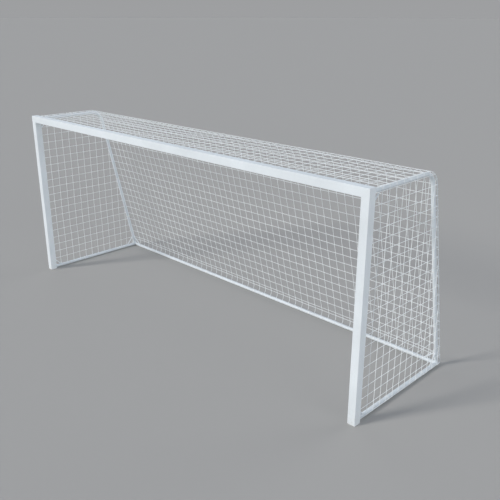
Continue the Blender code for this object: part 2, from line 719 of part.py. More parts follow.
def build_clips():
    low_v = NET_BASE_HEIGHT - GROUND_AXIS
    single = clip_path(NET_OFFSET, low_v, CLIP_LOOP_RADIUS, GROUND_CLIP_END)
    laced_u = NET_OFFSET - LACED_GAP / 2
    laced_corner = math.hypot(LACED_GAP / 2 + CORD_HALF, CORD_HALF)
    laced_radius = (laced_corner + SEAT_GAP + CLIP_THICKNESS / 2) / math.cos(CLIP_STEP / 2)
    laced = clip_path(laced_u, NET_OFFSET, laced_radius, STAY_CLIP_END)

    places = []
    rear_y = FRONT_Y + BASE_DEPTH
    for index, x in enumerate(across(POST_X - REAR_BRACE_LEG, REAR_CLIP_CELLS * CORD_PITCH)):
        frame = clip_frame((x, rear_y, GROUND_AXIS), (0, 1, 0), (0, 0, 1))
        places.append(("rear_bar_net_clip_" + str(index + 1), frame))
    for label, side in SIDES:
        for index, cell in enumerate(GROUND_CLIP_CELLS):
            origin = (side * POST_X, cell_middle(NET_FRONT_Y, cell), GROUND_AXIS)
            frame = clip_frame(origin, (side, 0, 0), (0, 0, 1))
            places.append((label + "_bar_net_clip_" + str(index + 1), frame))
    add_copies(ribbon(single, CLIP_THICKNESS, CLIP_WIDTH), PLASTIC, places)

    places = []
    for label, side in SIDES:
        origin = (side * POST_X, cell_middle(NET_FRONT_Y, UPPER_CLIP_CELL), BAR_HEIGHT)
        places.append((label + "_upper_net_clip", clip_frame(origin, (side, 0, 0), (0, 0, 1))))
        up = stay_direction(side)
        back = Vector((0, up.z, -up.y))
        for index, cell in enumerate(STAY_CLIP_CELLS):
            height = cell_middle(NET_BASE_HEIGHT, cell)
            origin = corner_point(side) + up * (height - GROUND_AXIS) / up.z
            frame = clip_frame(origin, (side, 0, 0), back)
            places.append((label + "_stay_net_clip_" + str(index + 1), frame))
    add_copies(ribbon(laced, CLIP_THICKNESS, CLIP_WIDTH), PLASTIC, places)


def net_side_line():
    """Net's edge in the side plane, as (y, z): along the roof, round the bend, down the back."""
    up = stay_direction(1)
    corner = stay_corner(1)
    turn = math.pi - math.acos(-up.y)
    tangent = STAY_BEND_RADIUS * math.tan((math.pi - turn) / 2)
    centre_y = corner.y - tangent
    centre_z = corner.z - STAY_BEND_RADIUS
    radius = STAY_BEND_RADIUS + NET_OFFSET
    sweep = math.pi - turn
    points = [(NET_FRONT_Y, BAR_HEIGHT + NET_OFFSET)]
    for step in range(NET_BEND_STEPS + 1):
        angle = sweep * step / NET_BEND_STEPS
        points.append((centre_y + radius * math.sin(angle), centre_z + radius * math.cos(angle)))
    last_y, last_z = points[-1]
    run = (last_z - NET_BASE_HEIGHT) / up.z
    points.append((last_y - up.y * run, NET_BASE_HEIGHT))
    return points


def cord_levels(first, last):
    """Cord places between two borders, a pitch apart and counted from the first."""
    count = int((last - first - CORD_PITCH / 3) / CORD_PITCH)
    return [first + CORD_PITCH * (index + 1) for index in range(count)]


def lattice(name, bm):
    """Give a sheet's edges the thickness of cord."""
    obj = add_object(name, bm, CORD)
    wire = obj.modifiers.new("cords", "WIREFRAME")
    wire.thickness = CORD_THICKNESS
    wire.offset = 0.0
    wire.use_replace = True
    wire.use_boundary = True
    wire.use_even_offset = True
    wire.use_relative_offset = False
    return obj


def build_side_nets():
    line = net_side_line()
    front_y, top_z = line[0]
    for label, side in SIDES:
        x = side * (POST_X + NET_OFFSET)
        bm = bmesh.new()
        outline = line + [(front_y, NET_BASE_HEIGHT)]
        bm.faces.new([bm.verts.new((x, y, z)) for y, z in outline])
        for y in cord_levels(front_y, max(y for y, z in line)):
            cut_sheet(bm, (x, y, 0), (0, 1, 0))
        for z in cord_levels(NET_BASE_HEIGHT, top_z):
            cut_sheet(bm, (x, 0, z), (0, 0, 1))
        lattice(label + "_side_net", bm)


def cut_sheet(bm, point, normal):
    """Draw one straight cord line across a flat sheet."""
    bmesh.ops.bisect_plane(bm, geom=bm.verts[:] + bm.edges[:] + bm.faces[:],
                           plane_co=point, plane_no=normal)


def net_columns():
    """Cord places across the width, from border to border."""
    edge = POST_X + NET_OFFSET - LACED_GAP
    inner = [CORD_PITCH * (index + 0.5) for index in range(int(edge / CORD_PITCH))]
    inner = [x for x in inner if x < edge - CORD_PITCH / 3]
    return [-edge] + [-x for x in reversed(inner)] + inner + [edge]


def build_main_net():
    """Roof and back in one piece, bent over the stays like the tube below it."""
    line = net_side_line()
    front_y, roof_z = line[0]
    bend = line[1:-1]
    low_y, low_z = line[-1]
    high_y, high_z = bend[-1]
    rows = [(y, roof_z) for y in [front_y] + cord_levels(front_y, bend[0][0])]
    rows += bend
    for z in reversed(cord_levels(low_z, high_z)):
        share = (z - low_z) / (high_z - low_z)
        rows.append((low_y + (high_y - low_y) * share, z))
    rows.append((low_y, low_z))
    columns = net_columns()
    bm = bmesh.new()
    grid = [[bm.verts.new((x, y, z)) for x in columns] for y, z in rows]
    for lower, upper in zip(grid, grid[1:]):
        for index in range(len(columns) - 1):
            bm.faces.new((lower[index], lower[index + 1], upper[index + 1], upper[index]))
    lattice("main_net", bm)


def build_goal():
    for obj in list(bpy.data.objects):
        bpy.data.objects.remove(obj, do_unlink=True)
    build_posts()
    build_crossbar()
    build_foot_caps()
    build_corner_connectors()
    drill_screw_holes()
    build_connector_screws()
    build_spigots()
    build_slot_bolts()
    build_tubes()
    build_rear_corners()
    build_braces()
    fit_hooks()
    build_clips()
    build_side_nets()
    build_main_net()


build_goal()
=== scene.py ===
"""Looks of the free-standing small-pitch goal.

White powder-coated profile and tubes, knotted white net of 100 mm mesh, moulded hooks and
clips. Everything is in metres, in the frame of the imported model: +X to the right, the mouth
faces -Y, +Z up.
"""
import math

import bmesh
import bpy
from mathutils import Matrix, Vector


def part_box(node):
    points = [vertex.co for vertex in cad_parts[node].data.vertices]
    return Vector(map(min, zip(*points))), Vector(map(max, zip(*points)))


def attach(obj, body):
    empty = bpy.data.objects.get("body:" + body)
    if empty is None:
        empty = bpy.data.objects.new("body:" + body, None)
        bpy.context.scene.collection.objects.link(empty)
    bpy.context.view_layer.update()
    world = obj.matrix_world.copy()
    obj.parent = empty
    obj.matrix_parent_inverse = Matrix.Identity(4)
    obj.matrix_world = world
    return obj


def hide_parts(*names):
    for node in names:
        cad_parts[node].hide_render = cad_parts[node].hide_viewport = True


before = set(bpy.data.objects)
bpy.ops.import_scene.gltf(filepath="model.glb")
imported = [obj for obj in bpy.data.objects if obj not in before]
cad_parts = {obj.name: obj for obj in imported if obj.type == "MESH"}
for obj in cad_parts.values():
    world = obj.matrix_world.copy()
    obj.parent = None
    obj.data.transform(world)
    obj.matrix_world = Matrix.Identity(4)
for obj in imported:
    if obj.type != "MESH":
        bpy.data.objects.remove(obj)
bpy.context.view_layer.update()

# Places, from the frame
post_low, post_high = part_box("right_post")
stay_low, stay_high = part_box("right_net_stay")
rear_low, rear_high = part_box("rear_ground_bar")
PROFILE = post_high.x - post_low.x
POST_X = (post_low.x + post_high.x) / 2
FRONT_Y = post_low.y
REAR_FACE_Y = FRONT_Y + PROFILE
BAR_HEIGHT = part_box("crossbar")[1].z - PROFILE / 2
TUBE_RADIUS = (stay_high.x - stay_low.x) / 2
REAR_BAR_Y = (rear_low.y + rear_high.y) / 2
SIDES = (("left", -1), ("right", 1))
SHARP_FROM = math.radians(32)

# Square profile, with the hook slot in its rear face
PROFILE_WALL = 0.003
PROFILE_EDGE_RADIUS = 0.005
PROFILE_EASE = 0.00025
SLOT_WIDTH = 0.010
SLOT_LIP = 0.0025
SLOT_CAVITY_WIDTH = 0.017
SLOT_CAVITY_DEPTH = 0.008
SLOT_WALL = 0.0025
FOOT_PLATE = 0.004
FOOT_EASE = 0.0006

# Round tubes, and the play between a piece and its seat
SEAT_GAP = 0.0003
TUBE_WALL = 0.0025
TUBE_SIDES = 40
TUBE_EASE = 0.0003
BEND_CORNER_Y = FRONT_Y + 0.974
BEND_RADIUS = 0.150
BEND_STEPS = 20

# Spigots on the posts, and the cast rear corners
FLANGE_THICKNESS = 0.004
FLANGE_CHAMFER = 0.0006
SPIGOT_LENGTH = 0.060
SPIGOT_PLAY = 0.0004
SPIGOT_RADIUS = TUBE_RADIUS - TUBE_WALL - SPIGOT_PLAY
COLLAR_LENGTH = 0.045
COLLAR_CHAMFER = 0.0008
COLLAR_OVERLAP = 0.002
PLUG_LENGTH = 0.050
PLUG_CHAMFER = 0.002
CORNER_BALL_RADIUS = 0.023
COLLAR_SIDES = 48
CASTING_VOXEL = 0.0014
CASTING_LIFT = 0.0002

# Braces
BRACE_RADIUS = 0.006
BRACE_SIDES = 28
BRACE_SHARP_FROM = math.radians(50)
FOOT_BRACE_LEG = 0.100
TOP_BRACE_LEG = 0.130
CORNER_BRACE_LEG = 0.145
# Each ring of a weld: how far back from the seat, and how much wider than the rod
WELD_RINGS = ((0.0, 0.0030), (0.0012, 0.0022), (0.0028, 0.0012), (0.0045, 0.0004), (0.0062, 0.0))
# A ring that stands out by more than this is rippled, by a share of its radius
RIPPLED_ABOVE = 0.0005
RIPPLE = 0.05
RIPPLE_COUNT = 7
RIPPLE_TWIST = 900

# Net
MESH_PITCH = 0.100
CORD_RADIUS = 0.00235
BORDER_RADIUS = 0.0025
CORD_LAY = 0.0075
NET_OFFSET = 0.0265
NET_FRONT_Y = REAR_FACE_Y + 0.0055
NET_BASE = 0.025
HEM_HEIGHT = 0.0886
SEAM_WIDTH = 0.0048
# Scale of each noise that moves the cords, and how far it moves them
DRIFTS = ((1.6, 0.007), (8.0, 0.0025))

# Cells of the solids' net, and those that have a hook or a clip in their middle: the first two
# rows count to both sides of the goal's middle cell, the others from 0 at the ground or mouth
CELL = 0.300
CROSSBAR_HOOK_CELLS = range(-8, 9)
REAR_CLIP_CELLS = range(-6, 7, 3)
POST_HOOK_CELLS = range(1, 6)
BAR_CLIP_CELLS = (1, 3)
STAY_CLIP_CELLS = (1, 3, 5)
UPPER_CLIP_CELL = 1

# Hooks, clips and screws
HOOK_WIDTH = 0.010
HOOK_THICKNESS = 0.0022
HOOK_FOOT = 0.0055
HOOK_PLAY = 0.0005
HOOK_LIP_GAP = 0.0002
HOOK_RIDGE = 0.0006
HOOK_RAMP = (0.002, -0.001)
HOOK_CORD_GAP = 0.0004
HOOK_CURL = math.radians(205)
CLIP_THICKNESS = 0.002
CLIP_WIDTH = 0.012
CLIP_EASE = 0.0004
# A clip's loop: its radius, where its wrap ends on the tube, and how far it turns, in degrees
SINGLE_LOOP = (BORDER_RADIUS + 0.0014, 195, 250)
LACED_LOOP = (0.0060, 285, 235)
SCREW_APART = 0.024
SCREW_FROM_CORNER = 0.120
SCREW_SIDES = 36
# Each ring of a screw's head from its socket outwards: radius, height and corners
SCREW_RINGS = ((0.0019, 0.0009, 6), (0.0019, 0.0026, 6), (0.0034, 0.0026, 0),
               (0.0048, 0.0021, 0), (0.0057, 0.0012, 0), (0.0060, 0.0004, 0),
               (0.0060, 0.0, 0), (0.0030, 0.0, 0), (0.0030, -0.012, 0))


# Finishes


def feed(tree, socket, value):
    """Links a socket to another one, or sets it to a plain value."""
    if isinstance(value, bpy.types.NodeSocket):
        tree.links.new(value, socket)
    else:
        socket.default_value = value


def add(tree, kind, inputs=None, **settings):
    """A new node with its settings, and with values or links in its inputs."""
    node = tree.nodes.new(kind)
    for key, value in settings.items():
        setattr(node, key, value)
    for key, value in (inputs or {}).items():
        feed(tree, node.inputs[key], value)
    return node


def maths(tree, operation, *values):
    node = add(tree, "ShaderNodeMath", dict(enumerate(values)), operation=operation)
    return node.outputs["Value"]


def noise(tree, place, scale, detail, roughness=0.55):
    node = add(tree, "ShaderNodeTexNoise", {"Vector": place, "Scale": scale, "Detail": detail,
                                            "Roughness": roughness})
    return node.outputs["Fac"]


def remap(tree, value, low, high, to_low=0.0, to_high=1.0):
    node = add(tree, "ShaderNodeMapRange", {"Value": value, "From Min": low, "From Max": high,
                                            "To Min": to_low, "To Max": to_high})
    return node.outputs["Result"]


def patches(tree, place, scale, detail, window, levels=(0.0, 1.0), roughness=0.55):
    """Noise of a scale and detail, its values inside a window spread between two levels."""
    return remap(tree, noise(tree, place, scale, detail, roughness), *window, *levels)


def blend_colour(tree, factor, *pair):
    """Colour between two, each of them plain or a socket."""
    node = add(tree, "ShaderNodeMix", {"Factor": factor}, data_type="RGBA")
    colours = [socket for socket in node.inputs if socket.type == "RGBA"]
    for socket, value in zip(colours, pair):
        feed(tree, socket, (*value, 1.0) if isinstance(value, tuple) else value)
    return next(socket for socket in node.outputs if socket.type == "RGBA")


def darker(colour, share):
    return tuple(channel * share for channel in colour)


def shader_of(name, colour, roughness, metallic=0.0):
    """A new material, its node tree and its Principled shader."""
    material = bpy.data.materials.new(name)
    material.use_nodes = True
    tree = material.node_tree
    shader = tree.nodes["Principled BSDF"]
    shader.inputs["Base Color"].default_value = (*colour, 1.0)
    shader.inputs["Roughness"].default_value = roughness
    shader.inputs["Metallic"].default_value = metallic
    return material, tree, shader


def object_place(tree):
    return add(tree, "ShaderNodeTexCoord").outputs["Object"]


def dress(tree, shader, tone, relief, strength, depth, gloss=None):
    """A finish's colour, relief and gloss go into its shader. Depth is in metres."""
    feed(tree, shader.inputs["Base Color"], tone)
    if gloss is not None:
        feed(tree, shader.inputs["Roughness"], gloss)
    bump = add(tree, "ShaderNodeBump", {"Height": relief, "Strength": strength, "Distance": depth})
    feed(tree, shader.inputs["Normal"], bump.outputs["Normal"])


def powder_coat(name, colour, roughness):
    """White powder coat: fine orange peel, a faint mottle, splashed a little at the ground."""
    material, tree, shader = shader_of(name, colour, roughness)
    shader.inputs["Specular IOR Level"].default_value = 0.38
    place = object_place(tree)
    tone = blend_colour(tree, patches(tree, place, 2.3, 4.0, (0.35, 0.7)),
                        colour, darker(colour, 0.90))
    mottle = patches(tree, place, 170.0, 2.0, (0.50, 0.72), (0.0, 0.30))
    tone = blend_colour(tree, mottle, tone, darker(colour, 0.80))
    height = add(tree, "ShaderNodeSeparateXYZ", {"Vector": place}).outputs["Z"]
    near_ground = remap(tree, height, 0.0, 0.22, 1.0, 0.0)
    drops = patches(tree, place, 38.0, 5.0, (0.42, 0.70), roughness=0.65)
    splash = maths(tree, "MULTIPLY", maths(tree, "MULTIPLY", near_ground, drops), 0.38)
    tone = blend_colour(tree, splash, tone, (0.50, 0.49, 0.44))
    gloss = patches(tree, place, 21.0, 4.0, (0.3, 0.75), (roughness - 0.06, roughness + 0.12))
    orange_peel = noise(tree, place, 620.0, 1.0, 0.4)
    dress(tree, shader, tone, orange_peel, 0.25, 0.0004, gloss)
    return material


def moulded_plastic(name, colour):
    """Matt white plastic with a fine eroded grain."""
    material, tree, shader = shader_of(name, colour, 0.5)
    place = object_place(tree)
    cloud = patches(tree, place, 60.0, 3.0, (0.35, 0.7))
    tone = blend_colour(tree, cloud, colour, darker(colour, 0.92))
    gloss = patches(tree, place, 240.0, 2.0, (0.3, 0.7), (0.42, 0.58))
    dress(tree, shader, tone, noise(tree, place, 1400.0, 2.0), 0.3, 0.0002, gloss)
    return material


def bare_metal(name, colour, roughness, grain):
    """Zinc-plated or as-cast metal: a patchy tone and a fine grain."""
    material, tree, shader = shader_of(name, colour, roughness, 1.0)
    place = object_place(tree)
    patch = patches(tree, place, 90.0, 4.0, (0.3, 0.7))
    tone = blend_colour(tree, patch, colour, darker(colour, 0.82))
    gloss = patches(tree, place, 160.0, 3.0, (0.3, 0.7), (roughness - 0.08, roughness + 0.1))
    dress(tree, shader, tone, noise(tree, place, grain, 3.0), 0.35, 0.0003, gloss)
    return material


def twisted_cord(name, colour):
    """White net cord laid of two strands, with painted shade in its grooves, loose fibres and a
    little soiling.
    """
    material, tree, shader = shader_of(name, colour, 0.82)
    shader.inputs["Sheen Weight"].default_value = 0.15
    place = object_place(tree)
    along, lay_cos, lay_sin = [
        add(tree, "ShaderNodeAttribute", attribute_name=label).outputs["Fac"]
        for label in ("along", "lay_cos", "lay_sin")]
    turn = maths(tree, "MULTIPLY", along, 2 * math.pi / CORD_LAY)
    ridge = maths(tree, "ADD",
                  maths(tree, "MULTIPLY", maths(tree, "SINE", turn), lay_cos),
                  maths(tree, "MULTIPLY", maths(tree, "COSINE", turn), lay_sin))
    ridge = remap(tree, ridge, -1.0, 1.0)
    # Painted shade: the colour is darkened in the grooves between the strands, where shade would
    # fall.
    groove_shade = remap(tree, ridge, 0.0, 0.45, 0.28, 0.0)
    tone = blend_colour(tree, groove_shade, colour, darker(colour, 0.66))
    soil = patches(tree, place, 5.0, 4.0, (0.45, 0.75), (0.0, 0.20))
    tone = blend_colour(tree, soil, tone, (0.66, 0.69, 0.67))
    fibres = maths(tree, "MULTIPLY", noise(tree, place, 900.0, 2.0), 0.35)
    dress(tree, shader, tone, maths(tree, "ADD", ridge, fibres), 0.7, 0.0008)
    return material


# Keyed by the record's material slots
FINISHES = {
    "white_profile": powder_coat("white_profile_paint", (0.735, 0.785, 0.81), 0.62),
    "white_tube": powder_coat("white_tube_paint", (0.72, 0.775, 0.81), 0.48),
    "foot_plastic": moulded_plastic("foot_plastic", (0.76, 0.78, 0.79)),
    "clip_plastic": moulded_plastic("clip_plastic", (0.80, 0.82, 0.82)),
    "net_cord": twisted_cord("net_cord", (0.87, 0.90, 0.905)),
    "cast_aluminium": bare_metal("cast_aluminium", (0.62, 0.63, 0.64), 0.45, 420.0),
    "zinc_steel": bare_metal("zinc_steel", (0.58, 0.59, 0.61), 0.34, 700.0),
}


# Mesh helpers


def new_object(name, data):
    """An object of that name in the scene."""
    item = bpy.data.objects.new(name, data)
    bpy.context.scene.collection.objects.link(item)
    return item


def plain_mesh(carrier):
    """The mesh that a carrier's modifiers make. The carrier and its own mesh are used up."""
    first = carrier.data
    depsgraph = bpy.context.evaluated_depsgraph_get()
    result = bpy.data.meshes.new_from_object(carrier.evaluated_get(depsgraph),
                                             preserve_all_data_layers=True, depsgraph=depsgraph)
    bpy.data.objects.remove(carrier, do_unlink=True)
    bpy.data.meshes.remove(first)
    return result


def evaluated(mesh, **modifiers):
    """The mesh after modifiers, each given as KIND={setting: value}."""
    carrier = new_object("carrier", mesh)
    for kind, settings in modifiers.items():
        modifier = carrier.modifiers.new(kind, kind)
        for key, value in settings.items():
            setattr(modifier, key, value)
    return plain_mesh(carrier)


def eased(mesh, width):
    """Small rounding on every hard edge."""
    return evaluated(mesh, BEVEL={"width": width, "segments": 2, "limit_method": "ANGLE",
                                  "angle_limit": math.radians(30), "use_clamp_overlap": True})


def finish_piece(name, mesh, slot, nodes=(), sharp=SHARP_FROM, flats=False):
    """A mesh becomes a piece that rides on the goal and stands for nodes of the frame."""
    mesh.shade_smooth()
    if sharp is not None:
        mesh.set_sharp_from_angle(angle=sharp)
    if flats:
        mesh = evaluated(mesh, WEIGHTED_NORMAL={"keep_sharp": True, "weight": 100})
    mesh.name = name
    mesh.materials.clear()
    mesh.materials.append(FINISHES[slot])
    piece = new_object(name, mesh)
    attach(piece, "root")
    if nodes:
        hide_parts(*nodes)


def taken_from(bm):
    mesh = bpy.data.meshes.new("mesh")
    bm.to_mesh(mesh)
    bm.free()
    return mesh


def mesh_of(bm):
    """A closed body as a mesh whose faces point outwards."""
    bmesh.ops.recalc_face_normals(bm, faces=bm.faces)
    if bm.calc_volume(signed=True) < 0:
        bmesh.ops.reverse_faces(bm, faces=bm.faces)
    return taken_from(bm)


def joined(meshes):
    """Several meshes as one, which uses them up."""
    bm = bmesh.new()
    for mesh in meshes:
        bm.from_mesh(mesh)
        bpy.data.meshes.remove(mesh)
    return taken_from(bm)


def axis_frame(origin, direction):
    """Matrix that lays local +Z along a direction."""
    turn = Vector(direction).to_track_quat("Z", "Y").to_matrix().to_4x4()
    return Matrix.Translation(origin) @ turn


def frame_of(origin, x_way, y_way):
    """Matrix that sends local X and Y along two given ways."""
    x = Vector(x_way).normalized()
    y = Vector(y_way).normalized()
    turn = Matrix((x, y, x.cross(y))).transposed().to_4x4()
    return Matrix.Translation(origin) @ turn


def parts_of(result, kind, key="geom"):
    """The vertices or edges that a bmesh operation gives back."""
    return [item for item in result[key] if isinstance(item, kind)]


def prism(loops, height):
    """Closed outlines, the later ones holes, filled and extruded along +Z."""
    bm = bmesh.new()
    edges = []
    for points in loops:
        verts = [bm.verts.new((u, w, 0.0)) for u, w in points]
        edges += [bm.edges.new((verts[i - 1], verts[i])) for i in range(len(verts))]
    bmesh.ops.triangle_fill(bm, use_beauty=True, edges=edges, normal=(0, 0, 1))
    result = bmesh.ops.extrude_face_region(bm, geom=bm.faces[:])
    bmesh.ops.translate(bm, verts=parts_of(result, bmesh.types.BMVert), vec=(0, 0, height))
    return bm


def strip(outline, width):
    """Small prism centred on the plane of its outline, with eased edges."""
    bm = prism([outline], width)
    bmesh.ops.translate(bm, verts=bm.verts, vec=(0, 0, -width / 2))
    return eased(mesh_of(bm), CLIP_EASE)


def lathe(outline, sides):
    """Outline of (radius, height) turned round local Z into a closed body."""
    bm = bmesh.new()
    verts = [bm.verts.new((radius, 0.0, height)) for radius, height in outline]
    edges = [bm.edges.new(pair) for pair in zip(verts, verts[1:])]
    bmesh.ops.spin(bm, geom=verts + edges, cent=(0, 0, 0), axis=(0, 0, 1),
                   angle=math.tau, steps=sides, use_duplicate=False)
    bmesh.ops.remove_doubles(bm, verts=bm.verts, dist=1e-6)
    return bm


def ring_round(bm, centre, one, two, count):
    """New vertices round a centre, on an oval with two given half axes."""
    return [bm.verts.new(centre + one * math.cos(math.tau * part / count)
                         + two * math.sin(math.tau * part / count)) for part in range(count)]


def skinned(bm, rings, capped=False):
    """A mesh with faces between each ring of vertices and the next."""
    for one, two in zip(rings, rings[1:]):
        for index in range(len(one)):
            bm.faces.new((one[index - 1], one[index], two[index], two[index - 1]))
    if capped:
        bm.faces.new(rings[0])
        bm.faces.new(rings[-1])
    return mesh_of(bm)


def arc(centre, radius, start, end, steps):
    angles = [start + (end - start) * step / steps for step in range(steps + 1)]
    return [(centre[0] + radius * math.cos(angle), centre[1] + radius * math.sin(angle))
            for angle in angles]


# Posts and crossbar


def round_square():
    """The profile's outer outline, rear face on local Y = 0."""
    half = PROFILE / 2 - PROFILE_EDGE_RADIUS
    low, high = PROFILE_EDGE_RADIUS - PROFILE, -PROFILE_EDGE_RADIUS
    points = []
    for index, centre in enumerate(((half, high), (half, low), (-half, low), (-half, high))):
        start = math.pi / 2 * (1 - index)
        points += arc(centre, PROFILE_EDGE_RADIUS, start, start - math.pi / 2, 7)
    return points


def profile_loops():
    """Outer outline with the rear hook slot, and the hollow that steps round it."""
    mouth = SLOT_WIDTH / 2
    cavity = SLOT_CAVITY_WIDTH / 2
    depth = SLOT_LIP + SLOT_CAVITY_DEPTH
    slot = [(-mouth, 0.0), (-mouth, -SLOT_LIP), (-cavity, -SLOT_LIP), (-cavity, -depth),
            (cavity, -depth), (cavity, -SLOT_LIP), (mouth, -SLOT_LIP), (mouth, 0.0)]
    half = PROFILE / 2 - PROFILE_WALL
    front = PROFILE_WALL - PROFILE
    step = cavity + SLOT_WALL
    back = -(depth + SLOT_WALL)
    hollow = [(half, -PROFILE_WALL), (half, front), (-half, front), (-half, -PROFILE_WALL),
              (-step, -PROFILE_WALL), (-step, back), (step, back), (step, -PROFILE_WALL)]
    return [round_square() + slot, hollow]


def make_profile(name, node, matrix, low_end, high_end):
    """A length of profile with its two ends cut by planes, in its place."""
    bm = prism(profile_loops(), 1.0)
    for vert in bm.verts:
        end = high_end if vert.co.z > 0 else low_end
        vert.co.z = end(vert.co.x)
    bm.transform(matrix)
    mesh = eased(mesh_of(bm), PROFILE_EASE)
    finish_piece(name, mesh, "white_profile", [node], flats=True)


def make_profiles():
    setback = SEAT_GAP / math.sqrt(2)
    for label, side in SIDES:
        place = Matrix.Translation((side * POST_X, REAR_FACE_Y, 0.0))
        make_profile(label + "_post_profile", label + "_post", place,
                     lambda u: FOOT_PLATE + SEAT_GAP,
                     lambda u, s=side: BAR_HEIGHT + s * u - setback)
    place = Matrix.Translation((0.0, REAR_FACE_Y, BAR_HEIGHT))
    make_profile("crossbar_profile", "crossbar", place @ Matrix.Rotation(-math.pi / 2, 4, "Y"),
                 lambda u: -(POST_X + u - setback), lambda u: POST_X + u - setback)


def make_foot_caps():
    for label, side in SIDES:
        bm = prism([round_square()], FOOT_PLATE)
        bm.transform(Matrix.Translation((side * POST_X, REAR_FACE_Y, 0.0)))
        finish_piece(label + "_foot_plate", eased(mesh_of(bm), FOOT_EASE), "foot_plastic",
                     [label + "_foot_cap"])


# Round tubes, castings and braces


def corner_point(side):
    return Vector((side * POST_X, REAR_BAR_Y, TUBE_RADIUS))


def stay_corner(side):
    return Vector((side * POST_X, BEND_CORNER_Y, BAR_HEIGHT))


def stay_direction(side):
    return (stay_corner(side) - corner_point(side)).normalized()


def pipe(corners):
    """Hollow tube along straight runs with a round bend at each corner between."""
    bm = bmesh.new()
    heading = (corners[1] - corners[0]).normalized()
    here = corners[0]
    edges = []
    for radius in (TUBE_RADIUS, TUBE_RADIUS - TUBE_WALL):
        ring = bmesh.ops.create_circle(bm, cap_ends=False, segments=TUBE_SIDES, radius=radius,
                                       matrix=axis_frame(here, heading))["verts"]
        edges += dict.fromkeys(edge for vert in ring for edge in vert.link_edges)
    bmesh.ops.triangle_fill(bm, use_beauty=True, edges=edges, normal=heading)
    for index in range(1, len(corners)):
        target = corners[index]
        turn = 0.0
        if index + 1 < len(corners):
            onward = (corners[index + 1] - target).normalized()
            turn = heading.angle(onward)
            target = target - heading * BEND_RADIUS * math.tan(turn / 2)
        result = bmesh.ops.extrude_edge_only(bm, edges=edges)
        verts = parts_of(result, bmesh.types.BMVert)
        edges = parts_of(result, bmesh.types.BMEdge)
        bmesh.ops.translate(bm, verts=verts, vec=target - here)
        here = target
        if turn:
            axis = heading.cross(onward).normalized()
            centre = here + axis.cross(heading) * BEND_RADIUS
            result = bmesh.ops.spin(bm, geom=verts + edges, cent=centre, axis=axis, angle=turn,
                                    steps=BEND_STEPS, use_duplicate=False)
            edges = parts_of(result, bmesh.types.BMEdge, "geom_last")
            here = centre + Matrix.Rotation(turn, 3, axis) @ (here - centre)
            heading = onward
    bmesh.ops.triangle_fill(bm, use_beauty=True, edges=edges, normal=heading)
    return mesh_of(bm)


def make_tube(name, node, *corners):
    finish_piece(name, eased(pipe(corners), TUBE_EASE), "white_tube", [node])


def make_tubes():
    start_y = REAR_FACE_Y + FLANGE_THICKNESS + 2 * SEAT_GAP
    joint = COLLAR_LENGTH + SEAT_GAP
    for label, side in SIDES:
        corner = corner_point(side)
        make_tube(label + "_stay_tube", label + "_net_stay",
                  Vector((side * POST_X, start_y, BAR_HEIGHT)), stay_corner(side),
                  corner + stay_direction(side) * joint)
        make_tube(label + "_ground_tube", label + "_ground_bar",
                  Vector((side * POST_X, start_y, TUBE_RADIUS)), corner - Vector((0, joint, 0)))
    along = Vector((joint, 0, 0))
    make_tube("rear_ground_tube", "rear_ground_bar", corner_point(-1) + along,
              corner_point(1) - along)


def make_spigots():
    rim = TUBE_RADIUS - FLANGE_CHAMFER
    end = FLANGE_THICKNESS + SPIGOT_LENGTH
    outline = [(0.0, 0.0), (rim, 0.0), (TUBE_RADIUS, FLANGE_CHAMFER),
               (TUBE_RADIUS, FLANGE_THICKNESS - FLANGE_CHAMFER), (rim, FLANGE_THICKNESS),
               (SPIGOT_RADIUS, FLANGE_THICKNESS), (SPIGOT_RADIUS, end), (0.0, end)]
    for label, side in SIDES:
        for kind, height in (("stay", BAR_HEIGHT), ("bar", TUBE_RADIUS)):
            bm = lathe(outline, TUBE_SIDES)
            bm.transform(axis_frame((side * POST_X, REAR_FACE_Y + SEAT_GAP, height), (0, 1, 0)))
            name = label + "_" + kind + "_spigot"
            finish_piece(name + "_turned", mesh_of(bm), "white_tube", [name])


def make_rear_corners():
    """Cast corner: three collars that grow softly out of one ball, each with its plug."""
    collar = [(0.0, -COLLAR_OVERLAP), (TUBE_RADIUS, -COLLAR_OVERLAP),
              (TUBE_RADIUS, COLLAR_LENGTH - COLLAR_CHAMFER),
              (TUBE_RADIUS - COLLAR_CHAMFER, COLLAR_LENGTH), (0.0, COLLAR_LENGTH)]
    root = COLLAR_LENGTH - COLLAR_OVERLAP
    tip = COLLAR_LENGTH + PLUG_LENGTH
    plug = [(0.0, root), (SPIGOT_RADIUS, root), (SPIGOT_RADIUS, tip - PLUG_CHAMFER),
            (SPIGOT_RADIUS - PLUG_CHAMFER, tip), (0.0, tip)]
    for label, side in SIDES:
        corner = corner_point(side)
        bm = bmesh.new()
        bmesh.ops.create_uvsphere(bm, u_segments=COLLAR_SIDES, v_segments=32,
                                  radius=CORNER_BALL_RADIUS, matrix=Matrix.Translation(corner))
        rough = [mesh_of(bm)]
        plugs = []
        for way in (Vector((0, -1, 0)), Vector((-side, 0, 0)), stay_direction(side)):
            for outline, group in ((collar, rough), (plug, plugs)):
                bm = lathe(outline, COLLAR_SIDES)
                bm.transform(axis_frame(corner, way))
                group.append(mesh_of(bm))
        body = evaluated(joined(rough), REMESH={"mode": "VOXEL", "voxel_size": CASTING_VOXEL},
                         SMOOTH={"factor": 0.5, "iterations": 7})
        for vert in body.vertices:
            vert.co.z = max(vert.co.z, CASTING_LIFT)
        finish_piece(label + "_corner_casting", joined([body] + plugs), "white_tube",
                     [label + "_rear_corner"], None)


def to_rear_face(start, direction):
    """How far a point is from the posts' rear faces along a direction."""
    return (REAR_FACE_Y - start.y) / direction.y


